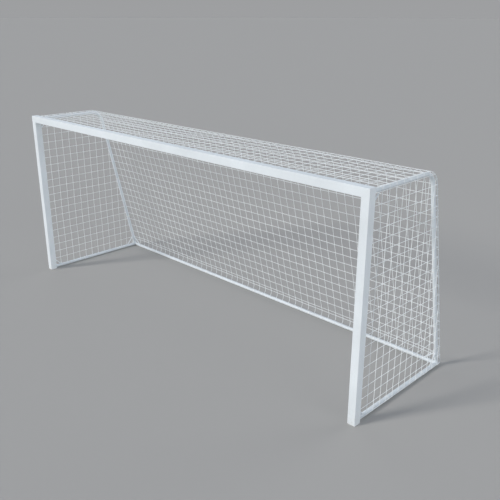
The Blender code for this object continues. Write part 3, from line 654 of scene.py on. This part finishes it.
def to_tube(point, axis):
    """A measure like the one above, to the surface of a tube."""
    unit = Vector(axis).normalized()

    def travel(start, direction):
        offset = start - Vector(point)
        offset = offset - unit * offset.dot(unit)
        across = direction - unit * direction.dot(unit)
        half_b = offset.dot(across) / across.length_squared
        rest = (offset.length_squared - TUBE_RADIUS ** 2) / across.length_squared
        return -half_b - math.sqrt(max(half_b ** 2 - rest, 0.0))
    return travel


def welded_rod(start, end, start_seat, end_seat):
    """Brace whose ends flare into a small rippled weld on their seats."""
    middle = (start + end) / 2
    direction = (end - start).normalized()
    turned = axis_frame(middle, direction)
    bm = bmesh.new()
    ends = []
    for seat, heading in ((start_seat, -direction), (end_seat, direction)):
        rings = []
        for back, extra in WELD_RINGS:
            ring = []
            for index in range(BRACE_SIDES):
                angle = math.tau * index / BRACE_SIDES
                out = Vector((math.cos(angle), math.sin(angle), 0.0))
                if extra > RIPPLED_ABOVE:
                    wave = math.sin(RIPPLE_COUNT * angle + extra * RIPPLE_TWIST)
                    out *= 1.0 + RIPPLE * wave
                point = turned @ (out * (BRACE_RADIUS + extra))
                ring.append(bm.verts.new(point + heading * (seat(point, heading) - back)))
            rings.append(ring)
        cap = bm.verts.new(middle + heading * seat(middle, heading))
        for index in range(BRACE_SIDES):
            bm.faces.new((cap, rings[0][index - 1], rings[0][index]))
        ends.append(rings)
    return skinned(bm, ends[0] + ends[1][::-1])


def make_braces():
    for label, side in SIDES:
        x = side * POST_X
        corner = corner_point(side)
        up = stay_direction(side)
        bar_seat = to_tube(corner, (0, 1, 0))
        stay_seat = to_tube(corner, up)
        rear_seat = to_tube(corner, (1, 0, 0))
        upper_seat = to_tube(stay_corner(side), (0, 1, 0))
        on_stay = corner + up * CORNER_BRACE_LEG
        rods = {
            "foot_brace": (Vector((x, REAR_FACE_Y, TUBE_RADIUS + FOOT_BRACE_LEG)),
                           Vector((x, REAR_FACE_Y + FOOT_BRACE_LEG, TUBE_RADIUS)),
                           to_rear_face, bar_seat),
            "top_brace": (Vector((x, REAR_FACE_Y, BAR_HEIGHT - TOP_BRACE_LEG)),
                          Vector((x, REAR_FACE_Y + TOP_BRACE_LEG, BAR_HEIGHT)),
                          to_rear_face, upper_seat),
            "side_brace": (on_stay, corner - Vector((0, CORNER_BRACE_LEG, 0)),
                           stay_seat, bar_seat),
            "rear_brace": (on_stay, corner - Vector((side * CORNER_BRACE_LEG, 0, 0)),
                           stay_seat, rear_seat),
        }
        for kind, parts in rods.items():
            name = label + "_" + kind
            finish_piece(name + "_welded", welded_rod(*parts), "white_tube", [name],
                         BRACE_SHARP_FROM)


# Geometry Nodes trees


def start_tree(name, inputs):
    """A tree with named inputs, and the sockets that give what goes in."""
    tree = bpy.data.node_groups.new(name, "GeometryNodeTree")
    new_socket = tree.interface.new_socket
    new_socket("Geometry", in_out="INPUT", socket_type="NodeSocketGeometry")
    for label, (kind, value) in inputs.items():
        socket = new_socket(label, in_out="INPUT", socket_type="NodeSocket" + kind)
        if value is not None:
            socket.default_value = value
    new_socket("Geometry", in_out="OUTPUT", socket_type="NodeSocketGeometry")
    return tree, tree.nodes.new("NodeGroupInput").outputs


def end_tree(tree, geometry, finish):
    """The tree's last steps: plain mesh, painted."""
    real = add(tree, "GeometryNodeRealizeInstances", {"Geometry": geometry})
    paint = add(tree, "GeometryNodeSetMaterial", {"Geometry": real.outputs["Geometry"],
                                                  "Material": finish})
    add(tree, "NodeGroupOutput", {"Geometry": paint.outputs["Geometry"]})
    return tree


def named(tree, kind, label):
    node = add(tree, "GeometryNodeInputNamedAttribute", {"Name": label}, data_type=kind)
    return node.outputs["Attribute"]


def store(tree, geometry, label, value):
    node = add(tree, "GeometryNodeStoreNamedAttribute",
               {"Geometry": geometry, "Name": label, "Value": value},
               data_type="FLOAT", domain="POINT")
    return node.outputs["Geometry"]


def vectors(tree, operation, inputs):
    return add(tree, "ShaderNodeVectorMath", inputs, operation=operation).outputs["Vector"]


def drifted(tree, geometry, waviness):
    """Points moved by a broad and a fine noise, as far as each point's slack lets them."""
    place = add(tree, "GeometryNodeInputPosition").outputs["Position"]
    waves = []
    for scale, size in DRIFTS:
        texture = add(tree, "ShaderNodeTexNoise", {"Vector": place, "Scale": scale, "Detail": 1.0})
        centred = vectors(tree, "SUBTRACT", {0: texture.outputs["Color"], 1: (0.5, 0.5, 0.5)})
        waves.append(vectors(tree, "SCALE", {0: centred, "Scale": size * 2}))
    freedom = maths(tree, "MULTIPLY", named(tree, "FLOAT", "slack"), waviness)
    offset = vectors(tree, "SCALE", {0: vectors(tree, "ADD", dict(enumerate(waves))),
                                     "Scale": freedom})
    move = add(tree, "GeometryNodeSetPosition", {"Geometry": geometry, "Offset": offset})
    return move.outputs["Geometry"]


def cords_tree():
    """Polylines become slightly wavy round cords that carry their lay for the finish."""
    tree, given = start_tree("lay_cords", {"Waviness": ("Float", 1.0), "Step": ("Float", 0.025),
                                           "Sides": ("Int", 7), "Finish": ("Material", None)})
    curve = add(tree, "GeometryNodeMeshToCurve", {"Mesh": given["Geometry"]})
    evenly = add(tree, "GeometryNodeResampleCurve",
                 {"Curve": curve.outputs["Curve"], "Length": given["Step"]}, mode="LENGTH")
    wavy = drifted(tree, evenly.outputs["Curve"], given["Waviness"])
    span = add(tree, "GeometryNodeSplineParameter").outputs
    ring = add(tree, "GeometryNodeCurvePrimitiveCircle", {"Radius": 1.0,
                                                          "Resolution": given["Sides"]})
    shape = ring.outputs["Curve"]
    strands = maths(tree, "MULTIPLY", span["Factor"], 4 * math.pi)
    for label, operation in (("lay_cos", "COSINE"), ("lay_sin", "SINE")):
        shape = store(tree, shape, label, maths(tree, operation, strands))
    sweep = add(tree, "GeometryNodeCurveToMesh",
                {"Curve": store(tree, wavy, "along", span["Length"]), "Profile Curve": shape,
                 "Scale": named(tree, "FLOAT", "thick"), "Fill Caps": True})
    return end_tree(tree, sweep.outputs["Mesh"], given["Finish"])


def copies_tree():
    """A pattern set at every point, turned as its point says and moved as far as it is slack."""
    tree, given = start_tree("set_copies", {"Pattern": ("Object", None), "Size": ("Float", 1.0),
                                            "Waviness": ("Float", 1.0),
                                            "Finish": ("Material", None)})
    pattern = add(tree, "GeometryNodeObjectInfo", {"Object": given["Pattern"]})
    points = drifted(tree, given["Geometry"], given["Waviness"])
    place = add(tree, "GeometryNodeInstanceOnPoints",
                {"Points": points, "Instance": pattern.outputs["Geometry"],
                 "Rotation": named(tree, "FLOAT_VECTOR", "turn"), "Scale": given["Size"]})
    return end_tree(tree, place.outputs["Instances"], given["Finish"])


LAY_CORDS = cords_tree()
SET_COPIES = copies_tree()


def base_mesh(points, edges=(), **fields):
    """Points and edges, with each named field's number or vector at every point."""
    mesh = bpy.data.meshes.new("base")
    mesh.from_pydata(points, edges, [])
    for label, values in fields.items():
        kind = "FLOAT" if isinstance(values[0], float) else "FLOAT_VECTOR"
        layer = mesh.attributes.new(label, kind, "POINT")
        if kind == "FLOAT":
            layer.data.foreach_set("value", values)
        else:
            layer.data.foreach_set("vector", [number for value in values for number in value])
    return mesh


def grown(mesh, tree, **values):
    """Plain mesh that a tree makes of a base mesh."""
    carrier = new_object("carrier", mesh)
    modifier = carrier.modifiers.new(tree.name, "NODES")
    modifier.node_group = tree
    for item in tree.interface.items_tree:
        if item.item_type == "SOCKET" and item.in_out == "INPUT" and item.name in values:
            modifier[item.identifier] = values[item.name]
    return plain_mesh(carrier)


def set_out(name, pattern_mesh, places, slot, nodes=(), sharp=SHARP_FROM, **fields):
    """A piece that repeats a pattern once in every place, given as matrices."""
    turns = [matrix.to_euler("XYZ") for matrix in places]
    points = base_mesh([matrix.translation for matrix in places], turn=turns, **fields)
    pattern = new_object("pattern", pattern_mesh)
    mesh = grown(points, SET_COPIES, Pattern=pattern, Finish=FINISHES[slot])
    bpy.data.objects.remove(pattern, do_unlink=True)
    bpy.data.meshes.remove(pattern_mesh)
    finish_piece(name, mesh, slot, nodes, sharp)


# Hooks, clips and screws


def clip_outline(points):
    """Outline of a clip bent along its middle line, with rounded ends."""
    points = [Vector(point) for point in points]
    ways = [(after - before).normalized() for before, after in zip(points, points[1:])]
    left, right = [], []
    for index, here in enumerate(points):
        into = ways[max(index - 1, 0)]
        along = (into + ways[min(index, len(ways) - 1)]).normalized()
        across = Vector((-along.y, along.x)) * (CLIP_THICKNESS / 2 / along.dot(into))
        left.append(tuple(here + across))
        right.append(tuple(here - across))

    def rounded(here, way):
        across = Vector((-way.y, way.x)) * CLIP_THICKNESS / 2
        return [tuple(here + Matrix.Rotation(angle, 2) @ across)
                for angle in (-math.pi / 4, -math.pi / 2, -3 * math.pi / 4)]

    return left + rounded(points[-1], ways[-1]) + right[::-1] + rounded(points[0], -ways[0])


def clip_line(cord, loop_radius, wrap_end, loop_turn):
    """Middle line of a clip: round the tube, across, and round the cord."""
    ring_radius = TUBE_RADIUS + SEAT_GAP + CLIP_THICKNESS / 2
    lean = math.acos((ring_radius - loop_radius) / math.hypot(*cord))
    leave = math.atan2(cord[1], cord[0]) + lean
    return (arc((0.0, 0.0), ring_radius, math.radians(wrap_end), leave, 26)
            + arc(cord, loop_radius, leave, leave - math.radians(loop_turn), 22))


def hook_outline():
    """Hook seen along its cord: foot in the slot, arm on the face, hook round the cord."""
    neck = SLOT_WIDTH / 2 - HOOK_PLAY
    foot = SLOT_CAVITY_WIDTH / 2 - HOOK_PLAY
    lip = -(SLOT_LIP + HOOK_LIP_GAP)
    sole = lip - HOOK_FOOT
    top = SEAT_GAP + HOOK_THICKNESS
    ridge = top + HOOK_RIDGE
    cord = (NET_OFFSET, NET_FRONT_Y - REAR_FACE_Y)
    inner = BORDER_RADIUS + HOOK_CORD_GAP
    start = -math.pi / 2
    end = start + HOOK_CURL
    outline = [(-neck, ridge), (-neck, lip), (-foot, lip), (-foot, sole),
               (foot, sole), (foot, lip), (neck, lip), (neck, SEAT_GAP)]
    outline += [(u, max(SEAT_GAP, w))
                for u, w in arc(cord, inner + HOOK_THICKNESS, start, end, 16)]
    outline += arc(cord, inner, end, start, 14)
    return outline + [(neck + HOOK_RAMP[0], top), (neck + HOOK_RAMP[1], ridge)]


def cell_middle(first, cell):
    return first + CELL * (cell + 0.5)


def make_hooks():
    places = [frame_of((CELL * cell, REAR_FACE_Y, BAR_HEIGHT), (0, 0, 1), (0, 1, 0))
              for cell in CROSSBAR_HOOK_CELLS]
    for _, side in SIDES:
        for cell in POST_HOOK_CELLS:
            point = (side * POST_X, REAR_FACE_Y, cell_middle(NET_BASE, cell))
            places.append(frame_of(point, (side, 0, 0), (0, 1, 0)))
    set_out("net_hooks", strip(hook_outline(), HOOK_WIDTH), places, "clip_plastic")


def set_clips(name, line, places):
    """Clips of one form, each in the place of its node."""
    clip = strip(clip_outline(line), CLIP_WIDTH)
    set_out(name, clip, places.values(), "clip_plastic", places)


def make_clips():
    """Clips for one border cord on the ground bars, and for two laced cords on the stays."""
    single = clip_line((NET_OFFSET, NET_BASE - TUBE_RADIUS), *SINGLE_LOOP)
    places = {}
    for number, cell in enumerate(REAR_CLIP_CELLS, 1):
        point = (CELL * cell, REAR_BAR_Y, TUBE_RADIUS)
        places["rear_bar_net_clip_" + str(number)] = frame_of(point, (0, 1, 0), (0, 0, 1))
    for label, side in SIDES:
        for number, cell in enumerate(BAR_CLIP_CELLS, 1):
            point = (side * POST_X, cell_middle(NET_FRONT_Y, cell), TUBE_RADIUS)
            name = label + "_bar_net_clip_" + str(number)
            places[name] = frame_of(point, (side, 0, 0), (0, 0, 1))
    set_clips("ground_bar_clips", single, places)

    laced = clip_line((NET_OFFSET - SEAM_WIDTH / 2, NET_OFFSET), *LACED_LOOP)
    places = {}
    for label, side in SIDES:
        point = (side * POST_X, cell_middle(NET_FRONT_Y, UPPER_CLIP_CELL), BAR_HEIGHT)
        places[label + "_upper_net_clip"] = frame_of(point, (side, 0, 0), (0, 0, 1))
        up = stay_direction(side)
        for number, cell in enumerate(STAY_CLIP_CELLS, 1):
            climb = cell_middle(NET_BASE, cell) - TUBE_RADIUS
            point = corner_point(side) + up * climb / up.z
            name = label + "_stay_net_clip_" + str(number)
            places[name] = frame_of(point, (side, 0, 0), (0, up.z, -up.y))
    set_clips("stay_clips", laced, places)


def screw_mesh():
    """Button-head screw with a hexagon socket."""
    bm = bmesh.new()
    rings = []
    for radius, height, corners in SCREW_RINGS:
        ring = []
        for index in range(SCREW_SIDES):
            angle = math.tau * index / SCREW_SIDES
            reach = radius
            if corners:
                part = math.tau / corners
                reach = radius / math.cos((angle % part) - part / 2)
            ring.append(bm.verts.new((reach * math.cos(angle), reach * math.sin(angle), height)))
        rings.append(ring)
    return skinned(bm, rings, capped=True)


def make_screws():
    """Two screws into each leg of both corner connectors."""
    places = {}
    for label, side in SIDES:
        spots = []
        for offset in (-SCREW_APART, SCREW_APART):
            spots.append((side * POST_X + offset, BAR_HEIGHT - SCREW_FROM_CORNER))
            spots.append((side * (POST_X - SCREW_FROM_CORNER), BAR_HEIGHT + offset))
        for number, (x, z) in enumerate(spots, 1):
            name = label + "_connector_screw_" + str(number)
            places[name] = axis_frame((x, REAR_FACE_Y + SEAT_GAP, z), (0, 1, 0))
    set_out("corner_screws", screw_mesh(), places.values(), "zinc_steel", places)


# Net

SIDE_NET_X = POST_X + NET_OFFSET
MAIN_EDGE_X = SIDE_NET_X - SEAM_WIDTH
UP = stay_direction(1)
SWEEP = math.pi / 2 - math.atan2(abs(UP.y), UP.z)
ARC_Y = BEND_CORNER_Y - BEND_RADIUS * math.tan(SWEEP / 2)
ARC_Z = BAR_HEIGHT - BEND_RADIUS
ARC_R = BEND_RADIUS + NET_OFFSET
ROOF_Z = BAR_HEIGHT + NET_OFFSET
ROOF_RUN = ARC_Y - NET_FRONT_Y
ARC_RUN = ARC_R * SWEEP
ARC_END = (ARC_Y + ARC_R * math.sin(SWEEP), ARC_Z + ARC_R * math.cos(SWEEP))
NET_RUN = ROOF_RUN + ARC_RUN + (ARC_END[1] - NET_BASE) / UP.z
EDGE_STEPS = 150
ROOF_ROWS = 9
HALF_COLUMNS = 25
ROW_HEIGHTS = [NET_BASE + MESH_PITCH * index for index in range(1, 21)]
SIDE_COLUMNS = [NET_FRONT_Y + MESH_PITCH * index for index in range(1, 14)]
TUCK_HEIGHTS = (0.066, 0.044)
EDGE_CLEARANCE = 0.004
# How far from a held edge the cords begin to drift, and the back panel to swell, in full
DRIFT_REACH = 0.22
BELLY_REACH = 0.19
# The back panel's swell: at the ground, what it loses with each metre of height, and at the hem
BELLY_LOW = 0.0312
BELLY_FALL = 0.0184
BELLY_AT_HEM = 0.0297
HEM_TUCK = 2.2
# Over the bend, the share of its drift that the main net keeps
BEND_FREEDOM = 0.3
# Above the slope, side cords drift as they would this far from the edge
BESIDE_BEND = 0.05


def wrap(run):
    """(y, z) of the main net at a distance from its front border."""
    if run <= ROOF_RUN:
        return NET_FRONT_Y + run, ROOF_Z
    run -= ROOF_RUN
    if run <= ARC_RUN:
        angle = run / ARC_R
        return ARC_Y + ARC_R * math.sin(angle), ARC_Z + ARC_R * math.cos(angle)
    run -= ARC_RUN
    return ARC_END[0] - UP.y * run, ARC_END[1] - UP.z * run


EDGE_LINE = [wrap(NET_RUN * part / EDGE_STEPS) for part in range(EDGE_STEPS + 1)]


def border_y(height):
    """y of the net's rear edge at a height."""
    if height <= ARC_END[1]:
        return ARC_END[0] - UP.y * (ARC_END[1] - height) / UP.z
    reach = min(max((height - ARC_Z) / ARC_R, -1.0), 1.0)
    return ARC_Y + ARC_R * math.sin(math.acos(reach))


def border_z(y):
    """Height of the net's rear or top edge at a y."""
    if y <= ARC_Y:
        return ROOF_Z
    if y <= ARC_END[0]:
        return ARC_Z + math.sqrt(max(ARC_R ** 2 - (y - ARC_Y) ** 2, 0.0))
    return ARC_END[1] + (y - ARC_END[0]) * UP.z / UP.y


def fade(distance, reach=DRIFT_REACH):
    """0 at a held edge, rising to 1 inside the net."""
    share = min(max(distance / reach, 0.0), 1.0)
    return share * share * (3 - 2 * share)


def belly(z):
    """How far the slack back panel swells out behind the line of its borders."""
    if z >= HEM_HEIGHT:
        return max(BELLY_LOW - BELLY_FALL * z, 0.0)
    share = (HEM_HEIGHT - z) / (HEM_HEIGHT - NET_BASE)
    return BELLY_AT_HEM * (1.0 - share ** HEM_TUCK)


class Lattice:
    """Cords as polylines, each point with how freely it hangs, and the knots between them."""

    def __init__(self):
        self.points, self.slack, self.thick, self.edges = [], [], [], []
        self.knots, self.knot_slack = [], []

    def cord(self, line, thick):
        start = len(self.points)
        for point, slack in line:
            self.points.append(point)
            self.slack.append(slack)
            self.thick.append(thick)
        self.edges += [(start + index, start + index + 1) for index in range(len(line) - 1)]

    def knot(self, point, slack, along, across):
        self.knots.append(frame_of(point, across, along))
        self.knot_slack.append(slack)


def main_lattice():
    """One panel over the roof, the bend and the back."""
    lattice = Lattice()
    columns = [MESH_PITCH * (index + 0.5) for index in range(HALF_COLUMNS)]
    columns = [-MAIN_EDGE_X] + [-x for x in reversed(columns)] + columns + [MAIN_EDGE_X]
    roof = [NET_FRONT_Y + MESH_PITCH * index for index in range(ROOF_ROWS)]
    rows = [(y, border_z(y)) for y in roof]
    rows += [(border_y(z), z) for z in ROW_HEIGHTS[::-1] + [HEM_HEIGHT, NET_BASE]]

    def hung(x, y, z):
        """Where a point of the net hangs, and how freely."""
        inset = MAIN_EDGE_X - abs(x)
        swell, share = 0.0, 1.0
        if y > ARC_Y and z < ARC_Z:
            swell = fade(inset, BELLY_REACH) * belly(z)
        elif y > ARC_Y and z > ARC_Z:
            share = BEND_FREEDOM
        return (x, y + swell, z), fade(min(inset, y - NET_FRONT_Y, z - NET_BASE)) * share

    for y, z in rows:
        line = [hung(x, y, z) for x in columns]
        lattice.cord(line, BORDER_RADIUS if (y, z) in (rows[0], rows[-1]) else CORD_RADIUS)
    tuck = [(border_y(z), z) for z in TUCK_HEIGHTS]
    for x in columns:
        outer = abs(x) == MAIN_EDGE_X
        stations = EDGE_LINE if outer else rows[:-1] + tuck + rows[-1:]
        line = [hung(x, y, z) for y, z in stations]
        lattice.cord(line, BORDER_RADIUS if outer else CORD_RADIUS)
    for index, (y, z) in enumerate(rows):
        before = rows[max(index - 1, 0)]
        after = rows[min(index + 1, len(rows) - 1)]
        ahead = Vector((0.0, after[0] - before[0], after[1] - before[1]))
        for x in columns:
            lattice.knot(*hung(x, y, z), ahead, (1, 0, 0))
    return lattice


def side_lattice(side):
    """A flat panel within the post, the stay and the ground bar."""
    lattice = Lattice()
    x = side * SIDE_NET_X

    def hung(y, z):
        """A point of the panel, and how freely it hangs."""
        run = (border_y(z) - y) * UP.z if z < ARC_END[1] else BESIDE_BEND
        return (x, y, z), fade(min(y - NET_FRONT_Y, z - NET_BASE, ROOF_Z - z, max(run, 0.0)))

    def knot(point, slack=0.0):
        lattice.knot(point, slack, (0, 0, 1), (0, 1, 0))

    for z in ROW_HEIGHTS:
        rear = border_y(z)
        stops = [y for y in SIDE_COLUMNS if y < rear - EDGE_CLEARANCE]
        stops = [NET_FRONT_Y] + stops + [rear]
        lattice.cord([hung(y, z) for y in stops], CORD_RADIUS)
        for y in stops:
            knot(*hung(y, z))
    for y in SIDE_COLUMNS:
        top = border_z(y)
        stops = [NET_BASE] + [z for z in ROW_HEIGHTS if z < top - EDGE_CLEARANCE] + [top]
        lattice.cord([hung(y, z) for z in stops], CORD_RADIUS)
        knot((x, y, top))
        knot((x, y, NET_BASE))
    low = [(NET_FRONT_Y, ROOF_Z), (NET_FRONT_Y, NET_BASE), (border_y(NET_BASE), NET_BASE)]
    for line in (EDGE_LINE, low):
        lattice.cord([((x, y, z), 0.0) for y, z in line], BORDER_RADIUS)
    return lattice


def knot_mesh():
    """One turn of cord wound slantwise round the crossing, along local X and Y."""
    loop, slant = 0.0030, 0.0011
    broad, thick = 0.0024, 0.0019
    around, about = 9, 5
    bm = bmesh.new()
    rings = []
    for step in range(around):
        angle = math.tau * step / around
        out = Vector((0.0, math.cos(angle), math.sin(angle)))
        centre = Vector((slant * math.sin(angle), loop * math.cos(angle), loop * math.sin(angle)))
        rings.append(ring_round(bm, centre, out * thick, Vector((broad, 0, 0)), about))
    return skinned(bm, rings[-1:] + rings)


def make_net(name, lattice, node):
    base = base_mesh(lattice.points, lattice.edges, slack=lattice.slack, thick=lattice.thick)
    cords = grown(base, LAY_CORDS, Finish=FINISHES["net_cord"])
    finish_piece(name, cords, "net_cord", [node], None)
    set_out(name + "_knots", knot_mesh(), lattice.knots, "net_cord", sharp=None,
            slack=lattice.knot_slack)


def make_nets():
    make_net("roof_and_back_net", main_lattice(), "main_net")
    for label, side in SIDES:
        make_net(label + "_side_mesh", side_lattice(side), label + "_side_net")


def lacing_mesh():
    """Thin cord wound round the pair of border cords, which lie side by side on local X."""
    wide, deep, length, turns = 0.0062, 0.0039, 0.0075, 2.25
    radius, rise = 0.0012, 0.0006
    steps, about = 34, 6
    up = Vector((0, 0, 1))
    bm = bmesh.new()
    rings = []
    for step in range(steps + 1):
        angle = math.tau * turns * step / steps
        height = (step / steps - 0.5) * length
        centre = Vector((math.cos(angle) * wide, math.sin(angle) * deep, height))
        way = Vector((-math.sin(angle) * wide, math.cos(angle) * deep, rise)).normalized()
        side_way = way.cross(up).normalized()
        rings.append(ring_round(bm, centre, side_way * radius, up * radius, about))
    return skinned(bm, rings, capped=True)


def make_lacing():
    """Seizings that tie the side nets' borders to the main net's."""
    middle = (SIDE_NET_X + MAIN_EDGE_X) / 2
    reach = 0.01
    places = []
    for _, side in SIDES:
        for index in range(int(NET_RUN / MESH_PITCH)):
            run = MESH_PITCH * (index + 0.5)
            ahead = Vector((0, *wrap(run + reach))) - Vector((0, *wrap(run - reach)))
            out = ahead.normalized().cross(Vector((1, 0, 0)))
            places.append(frame_of((side * middle, *wrap(run)), (1, 0, 0), out))
    set_out("seam_lacing", lacing_mesh(), places, "net_cord", sharp=None)


# Carried-over nodes


def paint_nodes():
    """The connectors and bolts inside the frame keep their shape and get their finish."""
    for name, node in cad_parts.items():
        if "connector" in name and "screw" not in name:
            finish = FINISHES["cast_aluminium"]
        elif "slot_bolt" in name:
            finish = FINISHES["zinc_steel"]
        else:
            continue
        for slot in node.material_slots:
            slot.material = finish


# Floor, light and camera

FLOOR_SIZE = 700.0
FLOOR_TONE = (0.410, 0.402, 0.383)
BACKDROP_TONE = (0.342, 0.347, 0.356)
STUDIO_WALLS = (0.79, 0.80, 0.82)
STUDIO_CEILING = (0.30, 0.34, 0.42)
CEILING_STARTS = 0.60
# Each lamp's strength, where it stands as seen from the goal, its spread in degrees and its colour
STUDIO_LAMPS = {
    "key_light": (2.30, (-0.38, -0.80, 0.42), 13, (1.0, 0.98, 0.955)),
    "right_light": (0.62, (0.92, -0.20, 0.25), 40, (0.96, 0.98, 1.0)),
    "back_light": (1.25, (0.25, 0.90, 0.22), 40, (0.98, 0.99, 1.0)),
    "left_light": (0.45, (-0.92, 0.20, 0.22), 40, (0.96, 0.98, 1.0)),
}
PHOTO_WIDTH = 500
SENSOR_WIDTH = 36.0
CAMERA_FOCAL = 643.875
CAMERA_PLACE = (5.2049, FRONT_Y - 3.9061, 3.2871)
CAMERA_TURN = (0.7817, -0.3488, 0.0011)


def make_floor():
    bm = bmesh.new()
    bmesh.ops.create_grid(bm, x_segments=1, y_segments=1, size=FLOOR_SIZE)
    mesh = mesh_of(bm)
    material, _, shader = shader_of("floor_paper", FLOOR_TONE, 0.9)
    shader.inputs["Specular IOR Level"].default_value = 0.0
    mesh.materials.append(material)
    new_object("floor", mesh)


def make_studio():
    """Walls and ceiling that light the goal, unseen behind a plain backdrop, and four lamps."""
    world = bpy.data.worlds.new("studio")
    bpy.context.scene.world = world
    world.use_nodes = True
    tree = world.node_tree
    place = add(tree, "ShaderNodeTexCoord").outputs["Generated"]
    height = add(tree, "ShaderNodeSeparateXYZ", {"Vector": place}).outputs["Z"]
    ceiling = remap(tree, height, 0.0, CEILING_STARTS)
    light = tree.nodes["Background"]
    feed(tree, light.inputs["Color"], blend_colour(tree, ceiling, STUDIO_WALLS, STUDIO_CEILING))
    seen = add(tree, "ShaderNodeBackground", {"Color": (*BACKDROP_TONE, 1.0)})
    path = add(tree, "ShaderNodeLightPath")
    pick = add(tree, "ShaderNodeMixShader", {"Fac": path.outputs["Is Camera Ray"],
                                             1: light.outputs["Background"],
                                             2: seen.outputs["Background"]})
    feed(tree, tree.nodes["World Output"].inputs["Surface"], pick.outputs["Shader"])
    for name, (strength, place, spread, colour) in STUDIO_LAMPS.items():
        lamp = bpy.data.lights.new(name, "SUN")
        lamp.energy = strength
        lamp.angle = math.radians(spread)
        lamp.color = colour
        turn = (-Vector(place)).to_track_quat("-Z", "Y").to_euler()
        new_object(name, lamp).rotation_euler = turn


def make_camera():
    """Eye point, bearing and tilt solved from the goal's corners in the photograph."""
    yaw, pitch, roll = CAMERA_TURN
    forward = Vector((-math.sin(yaw) * math.cos(pitch), math.cos(yaw) * math.cos(pitch),
                      math.sin(pitch)))
    level = Vector((math.cos(yaw), math.sin(yaw), 0.0))
    raised = level.cross(forward)
    right = level * math.cos(roll) + raised * math.sin(roll)
    above = raised * math.cos(roll) - level * math.sin(roll)
    data = bpy.data.cameras.new("camera")
    data.sensor_width = SENSOR_WIDTH
    data.lens = SENSOR_WIDTH * CAMERA_FOCAL / PHOTO_WIDTH
    data.shift_y = -1 / PHOTO_WIDTH
    data.clip_end = 2000.0
    camera = new_object("camera", data)
    turn = Matrix((right, above, -forward)).transposed().to_4x4()
    camera.matrix_world = Matrix.Translation(CAMERA_PLACE) @ turn
    bpy.context.scene.camera = camera


make_camera()
make_profiles()
make_foot_caps()
make_tubes()
make_spigots()
make_rear_corners()
make_braces()
make_hooks()
make_clips()
make_screws()
make_nets()
make_lacing()
paint_nodes()
make_floor()
make_studio()
bpy.context.scene.view_settings.view_transform = "Standard"
